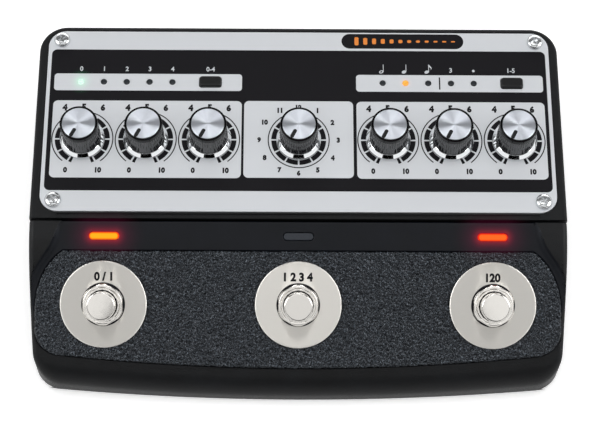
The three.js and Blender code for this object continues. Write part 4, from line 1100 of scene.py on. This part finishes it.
def knob(x, body, node):
    """A ribbed grip on a bright skirt, with a spun cap and a dark pointer let into it."""
    z = PANEL_TOP
    spot = Matrix.Translation((x, KNOB_Y, z))
    grip = turned("grip", rounded_profile([(0, 3.5), (6.1, 3.5), (6.1, 2.1), (6.9, 2.1), (6.95, 2.5), (6.85, 3.0),
                                           (6.58, 11.1), (0, 11.1)], 0.15, 3), GRIP)
    # The rim takes the darker copy of the grip's ABS, as painted shade.
    rim = turned("rim", rounded_profile([(0, 11.0), (6.55, 11.0), (6.72, 11.2), (6.72, 13.1), (6.3, 13.35),
                                         (5.98, 13.35), (5.9, 13.05), (0, 13.05)], 0.5, 5), SHADED_RIM_ABS)
    ribs = RIBS.grow("ribs", Count=48, Radius=6.68 * MM, Rib_Radius=0.2 * MM, Height=8.0 * MM,
                     Lean=-math.atan(0.19 / 8.9), Material=GRIP)
    move(ribs, Matrix.Translation((0, 0, 3.0)))
    shaft = turned("shaft", [(0, -6.5), (3, -6.5), (3, 3.6), (0, 3.6)], ZINC, 48)
    finish(shade(move(joined(node + "_grip", [grip, rim, ribs, shaft]), spot)), body, "knob_plastic", node)
    skirt = turned(node + "_skirt", rounded_profile([(6.1, 2.3), (6.1, 0.5), (7.95, 0.5), (8.1, 0.65), (8.1, 1.05),
                                                     (7.05, 2.35), (6.8, 2.5), (6.1, 2.3)], 0.12, 3), BRIGHT_CHROME)
    finish(shade(move(skirt, spot)), body, "chrome")
    cap = turned(node + "_cap", [(0, 13.0), (5.88, 13.0), (5.88, 13.2), (5.75, 13.3), (4.0, 13.33), (2.0, 13.34),
                                 (0, 13.35)], ALUMINIUM)
    finish(shade(move(cap, spot)), body, "knob_plastic")
    length = rounded_outline(-0.68, 0.68, 2.4, 5.95, 0.6, 5)
    pointer = sheet_piece(node + "_pointer", [length], 13.2, 13.35, BLACK_ABS)
    finish(move(pointer, spot @ Matrix.Rotation(-POINTER_TURN, 4, "Z")), body, "black_plastic")


KNOB_NODES = ("knob_1", "knob_2", "knob_3", "mode_knob", "knob_4", "knob_5", "knob_6")
for knob_x, knob_node in zip(KNOB_XS, KNOB_NODES):
    knob(knob_x, knob_node + "_body", knob_node)


# Screws
def screw():
    """A pan head screw with a cross recess, its seat at zero."""
    head = turned("screw", [(0, -6), (1.5, -6), (1.5, 0), (2.9, 0), (2.9, 0.9), (2.75, 1.35), (2.3, 1.7), (1.4, 1.87),
                            (0, 1.9)], ZINC, 40)
    bars = [sheet_piece("recess", [rounded_outline(-1.7, 1.7, -0.4, 0.4, 0.1, 2)], 0.9, FAR, ZINC),
            sheet_piece("recess", [rounded_outline(-0.4, 0.4, -1.7, 1.7, 0.1, 2)], 0.9, FAR, ZINC)]
    return clean(cut(head, *bars))


def screw_set(name, spread_x, spread_y, turn, spot, nodes):
    """Screws at the corners of a rectangle round spot, or at both ends of a line."""
    sample = move(screw(), turn)
    screws = CORNERS.grow(name, Spread_X=spread_x * MM, Spread_Y=spread_y * MM, Screw=sample, Material=ZINC)
    bpy.data.objects.remove(sample)
    finish(shade(move(screws, Matrix.Translation(spot))), "chassis", "screw_zinc", *nodes)


screw_set("panel_screws", 2 * PANEL_SCREW_X, PANEL_SCREW_YS[1] - PANEL_SCREW_YS[0], Matrix.Rotation(0.5, 4, "Z"),
          (0, sum(PANEL_SCREW_YS) / 2, PANEL_TOP + 0.1), [f"panel_screw_{i}" for i in range(1, 5)])
for set_name, (screw_x, screw_y), pair in (("base_screws_front", (85.58, -56.28), (1, 2)),
                                           ("base_screws_rear", (88.3, 59.0), (3, 4))):
    screw_set(set_name, 2 * screw_x, 0.0, Matrix.Rotation(math.pi, 4, "X"), (0, screw_y, BASE_Z - 0.1),
              [f"bottom_screw_{i}" for i in pair])


# The deck: pad, windows and foot switches
def tread_pad():
    """The rubber pad, its top edge rounded."""
    half = pad_half()
    rings = [ring(half, -0.1, -0.95), ring(half, -0.18, -0.8), ring(half, -0.18, 0.2)]
    for i in range(1, 7):
        turn = math.pi / 2 * i / 6
        rings.append(ring(half, -0.18 + 0.8 * (1 - math.cos(turn)), 0.2 + 0.8 * math.sin(turn)))
    pad = loft("tread_pad", rings, TREAD)
    return shade(move(pad, DECK), 50)


finish(tread_pad(), "chassis", "deck_rubber", "deck_pad")


def light_window(i, x, material):
    """A pill-shaped window, a little proud of the deck, its rim softened."""
    half = pill_half(LENS_LENGTH, LENS_WIDTH, -LENS_PLACE)
    rings = [ring(half, 0, -6.2), ring(half, 0, -0.1), ring(half, 0.1, 0.05), ring(half, 0.3, 0.1)]
    window = move(loft(f"window_{i}", rings, material), DECK @ Matrix.Translation((x, 0, 0)))
    finish(shade(window), "chassis", "window_lens", f"indicator_lens_{i}")


for i, (switch_x, window_finish) in enumerate(zip(SWITCH_XS, (LEFT_WINDOW, DARK_WINDOW, RIGHT_WINDOW)), 1):
    light_window(i, switch_x, window_finish)

PLATE_NUMBERS = ("0 / 1", "1 2 3 4", "120")


def hexagon_nut(name):
    """A hexagon nut whose corners are turned down to a cone on top."""
    corner = NUT_FLATS / math.sqrt(3)
    points = [(corner * math.sin(math.radians(60 * i)), corner * math.cos(math.radians(60 * i))) for i in range(6)]
    body = sheet_piece(name, [points, circle_outline(0, 0, 6.02, 64)], 2.4, 5.0, CHROME)
    cone = turned("cone", [(0, 2.0), (7.4, 2.0), (7.45, 2.5), (7.45, 4.3), (6.75, 5.1), (0, 5.1)], CHROME, 96)
    return clean(cut(body, cone, operation="INTERSECT"))


def foot_switch(i, x):
    """A brushed plate with its number, a nut on a chrome bushing with a dark ring under it as painted shade, and the
    cap that travels.
    """
    place_here = DECK @ Matrix.Translation((x, -SWITCH_PLACE, 0))
    plate = turned(f"plate_{i}", rounded_profile([(6.1, 1.3), (15.1, 1.3), (15.4, 1.4), (15.4, 2.0), (15.1, 2.2),
                                                  (6.1, 2.2), (6.1, 1.3)], 0.12, 3), STEEL, 128)
    finish(shade(move(plate, place_here)), "chassis", "switch_steel", f"switch_plate_{i}")
    caption = number(PLATE_NUMBERS[i - 1], x, -SWITCH_PLACE + 9.9, 2.21, 3.2, PRINT, 0.05)
    finish(move(caption, DECK), "chassis", "panel_print")
    nut = shade(settle(bevel(hexagon_nut(f"nut_{i}"), 0.06)))
    finish(move(nut, place_here), "chassis", "chrome", f"switch_nut_{i}")
    bushing = rounded_profile([(5.5, -5), (6.0, -5), (6.0, 5.7), (5.75, 5.9), (5.5, 5.9), (5.5, -5)], 0.1, 2)
    finish(shade(move(turned(f"bushing_{i}", bushing, CHROME, 64), place_here)), "chassis", "chrome")
    # A thin ring of blackened steel under the nut, put there as painted shade round its foot.
    under = rounded_profile([(6.1, 2.15), (7.75, 2.15), (7.75, 2.45), (6.1, 2.45), (6.1, 2.15)], 0.05, 2)
    finish(shade(move(turned(f"washer_{i}", under, SHADE_RING_STEEL, 72), place_here)), "chassis", "switch_steel")
    cap = rounded_profile([(0, 3.7), (5.15, 3.7), (5.15, 11.2), (0, 11.2)], 0.75, 6)
    button = turned(f"button_{i}", cap, CHROME, 72)
    finish(shade(move(button, place_here)), f"foot_button_{i}_body", "chrome", f"footswitch_button_{i}")


for i, switch_x in enumerate(SWITCH_XS, 1):
    foot_switch(i, switch_x)


# Feet and sockets
FOOT_PROFILE = rounded_profile([(0, 0), (5.7, 0), (6.5, 2.8), (6.5, 3.2), (0, 3.2)], 0.4, 3)
for i, (side, end) in enumerate(((-1, -1), (1, -1), (-1, 1), (1, 1)), 1):
    foot = turned(f"foot_{i}", FOOT_PROFILE, FOOT_RUBBER, 64, (side * FOOT_X, end * FOOT_Y))
    finish(shade(foot), "chassis", "foot_rubber", f"rubber_foot_{i}")

# Width and height of each kind of socket's case.
SOCKET_CASES = {"phone": (16.0, 13.2), "mini": (9.0, 8.4), "dc": (10.0, 12.4)}


def socket(name, x, z, nose, bore, nut, depth):
    """A nose with its nut, open down the bore, on the case behind the wall."""
    face = REAR_Y - RECESS_DEPTH
    steps = [(bore, face - depth), (bore, REAR_Y - 0.35), (bore + 0.35, REAR_Y), (nose - 0.25, REAR_Y),
             (nose, REAR_Y - 0.25), (nose, face - depth), (bore, face - depth)]
    matrix = Matrix.Translation((x, 0, z)) @ Matrix.Rotation(-math.pi / 2, 4, "X")
    barrel = turned(name, steps, CHROME if name != "dc_jack" else BLACK_ABS, 64)
    parts = [barrel]
    if name == "dc_jack":
        parts.append(turned("rim", rounded_profile([(nose, face), (nut, face), (nut, face + 0.8), (nose, face + 0.8),
                                                    (nose, face)], 0.2, 3), BLACK_ABS, 64))
        parts.append(turned("pin", rounded_profile([(0, face - depth), (1, face - depth), (1, REAR_Y - 2), (0,
                                                    REAR_Y - 1.6)], 0.3, 3), CHROME, 32))
    else:
        corners = [(nut * math.cos(math.radians(60 * i)), nut * math.sin(math.radians(60 * i))) for i in range(6)]
        parts.append(sheet_piece("nut", [corners, circle_outline(0, 0, nose, 48)], face, face + 1.2, CHROME, 0.12))
    front = move(joined("front", parts), matrix)
    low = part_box(name)[0] / MM
    width, height = SOCKET_CASES[name.split("_")[0]]
    box = sheet_piece("case", [rounded_outline(x - width / 2, x + width / 2, BOARD_TOP, BOARD_TOP + height, 0.5, 3)],
                      -(REAR_Y - WALL - GAP), -low.y, BLACK_ABS, 0.2)
    move(box, Matrix.Rotation(math.pi / 2, 4, "X"))
    bore_cut = lying("bore", x, z, bore, face - depth, REAR_Y, BLACK_ABS)
    return shade(joined(name + "_socket", [front, cut(box, bore_cut)]))


for details in SOCKETS:
    finish(socket(*details), "chassis", "pot_zinc" if details[0] != "dc_jack" else "black_plastic", details[0])

# Nodes of the CAD part that keep their own mesh get their finish here.
CARRIED = {"main_board": BOARD, "panel_board": BOARD, "indicator_board": BOARD, "rotary_encoder": ZINC}
CARRIED.update({f"potentiometer_{i}": ZINC for i in range(1, 7)})
CARRIED.update({f"footswitch_{i}": CHROME for i in range(1, 4)})
for node_name, own_finish in CARRIED.items():
    for material_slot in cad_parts[node_name].material_slots:
        material_slot.material = own_finish


# Studio
FLOOR_REACH = 3000
SCREEN_TOP = 1300
SCREEN_RADIUS = 2600
SCREEN_OPENING = math.radians(44)
FLAG_FOOT = 500
FLAG_HALF_WIDTH = 900
FLAG_Y = -2400


def studio():
    """A white floor, screens that only glossy surfaces see, and soft boxes."""
    white, tree, shader = surface("studio_floor", "#ffffff", Roughness=0.9, Specular_IOR_Level=0.0)
    output = tree.nodes["Material Output"]
    paths = add(tree, "ShaderNodeLightPath").outputs
    seen = add(tree, "ShaderNodeMath", {0: paths["Is Glossy Ray"], 1: paths["Is Transmission Ray"]},
               operation="MAXIMUM").outputs[0]
    flat = add(tree, "ShaderNodeEmission", {"Color": (1, 1, 1, 1), "Strength": 1.0}).outputs[0]
    extra = add(tree, "ShaderNodeMath", {0: paths["Is Camera Ray"], 1: 0.4}, operation="MULTIPLY").outputs[0]
    lift = add(tree, "ShaderNodeEmission", {"Color": (1, 1, 1, 1), "Strength": extra}).outputs[0]
    lifted = add(tree, "ShaderNodeAddShader", {0: shader.outputs[0], 1: lift}).outputs[0]
    mix = add(tree, "ShaderNodeMixShader", {0: seen, 1: lifted, 2: flat}).outputs[0]
    tree.links.new(mix, output.inputs["Surface"])
    corners = [(-FLOOR_REACH, -FLOOR_REACH, 0), (FLOOR_REACH, -FLOOR_REACH, 0), (FLOOR_REACH, FLOOR_REACH, 0),
               (-FLOOR_REACH, FLOOR_REACH, 0)]
    floor = new_piece("studio_floor", corners, [(0, 1, 2, 3)], white)
    wall_points, wall_faces = [], []
    for i in range(33):
        angle = -math.pi / 2 + SCREEN_OPENING / 2 + (2 * math.pi - SCREEN_OPENING) * i / 32
        wall_points += [(SCREEN_RADIUS * math.cos(angle), SCREEN_RADIUS * math.sin(angle), z) for z in (0, SCREEN_TOP)]
        if i:
            wall_faces.append((2 * i - 2, 2 * i, 2 * i + 1, 2 * i - 1))
    bright = surface("studio_wall", "#000000", Emission_Color=(1, 1, 1, 1), Emission_Strength=1.0)[0]
    wall = new_piece("studio_wall", wall_points, wall_faces, bright)

    def upright(name, z0, z1, material):
        """A flat screen in the opening of the wall."""
        points = [(-FLAG_HALF_WIDTH, FLAG_Y, z0), (FLAG_HALF_WIDTH, FLAG_Y, z0), (FLAG_HALF_WIDTH, FLAG_Y, z1),
                  (-FLAG_HALF_WIDTH, FLAG_Y, z1)]
        return new_piece(name, points, [(0, 1, 2, 3)], material)

    dark = surface("studio_flag", "#000000", Specular_IOR_Level=0.0)[0]
    flag = upright("studio_flag", FLAG_FOOT, SCREEN_TOP, dark)
    lit = surface("studio_kicker", "#000000", Emission_Color=(1, 1, 1, 1), Emission_Strength=1.0)[0]
    kicker = upright("studio_kicker", 0, FLAG_FOOT, lit)
    for screen in (wall, flag, kicker):
        for sight in ("camera", "diffuse", "transmission", "volume_scatter", "shadow"):
            setattr(screen, "visible_" + sight, False)
    world = bpy.data.worlds.new("studio")
    world.use_nodes = True
    world.node_tree.nodes["Background"].inputs[0].default_value = (1, 1, 1, 1)
    world.node_tree.nodes["Background"].inputs[1].default_value = 0.18
    bpy.context.scene.world = world
    # Each box has its name, place, width, height and radiance, and faces the object.
    lights = (("left_box", (-900, -50, 850), 700, 700, 5.3), ("right_box", (900, -50, 850), 700, 700, 5.3),
              ("camera_left_box", (-330, -540, 1200), 440, 760, 0.9), ("camera_box", (0, -540, 1200), 250, 760, 0.75),
              ("camera_right_box", (330, -540, 1200), 440, 760, 0.92), ("top_box", (0, 260, 1200), 1000, 300, 1.4),
              ("back_box", (0, 1000, 700), 1400, 350, 1.3), ("disc_box", (0, 260, 1190), 240, 160, 5.0),
              ("soft_box", (0, -100, 1300), 1800, 1400, 1.5),
              ("rim_box", (0, 1300, 420), 1800, 160, 6.0))
    for name, spot, width, height, radiance in lights:
        light = bpy.data.lights.new(name, "AREA")
        light.shape = "RECTANGLE"
        light.size, light.size_y = width * MM, height * MM
        light.energy = radiance * math.pi * light.size * light.size_y
        lamp = show(name, light)
        lamp.location = Vector(spot) * MM
        lamp.visible_diffuse = name not in ("left_box", "right_box", "disc_box", "rim_box")
        lamp.visible_glossy = name != "soft_box"
        lamp.rotation_euler = (Vector((0, 0, 20 * MM)) - lamp.location).to_track_quat("-Z", "Y").to_euler()


CAMERA_PLACE = (-4.94, -255.26, 617.91)
CAMERA_TURN = (66.96, 1.14, 1.3)  # degrees down, to the right and about its own axis
FOCAL_LENGTH = 107.01


def photo_camera():
    """The camera of the photograph, fitted to the object's outline."""
    pitch, yaw, roll = map(math.radians, CAMERA_TURN)
    right = Vector((math.cos(yaw), -math.sin(yaw), 0))
    forward = Vector((math.sin(yaw) * math.cos(pitch), math.cos(yaw) * math.cos(pitch), -math.sin(pitch)))
    up = right.cross(forward)
    across = right * math.cos(roll) + up * math.sin(roll)
    above = up * math.cos(roll) - right * math.sin(roll)
    data = bpy.data.cameras.new("photo_camera")
    data.lens = FOCAL_LENGTH
    data.sensor_width = 36
    data.sensor_fit = "HORIZONTAL"
    camera = show("photo_camera", data)
    turn = Matrix((across, above, -forward)).transposed().to_4x4()
    camera.matrix_world = Matrix.Translation(Vector(CAMERA_PLACE) * MM) @ turn
    bpy.context.scene.camera = camera


studio()
photo_camera()
bpy.context.scene.view_settings.view_transform = "Standard"
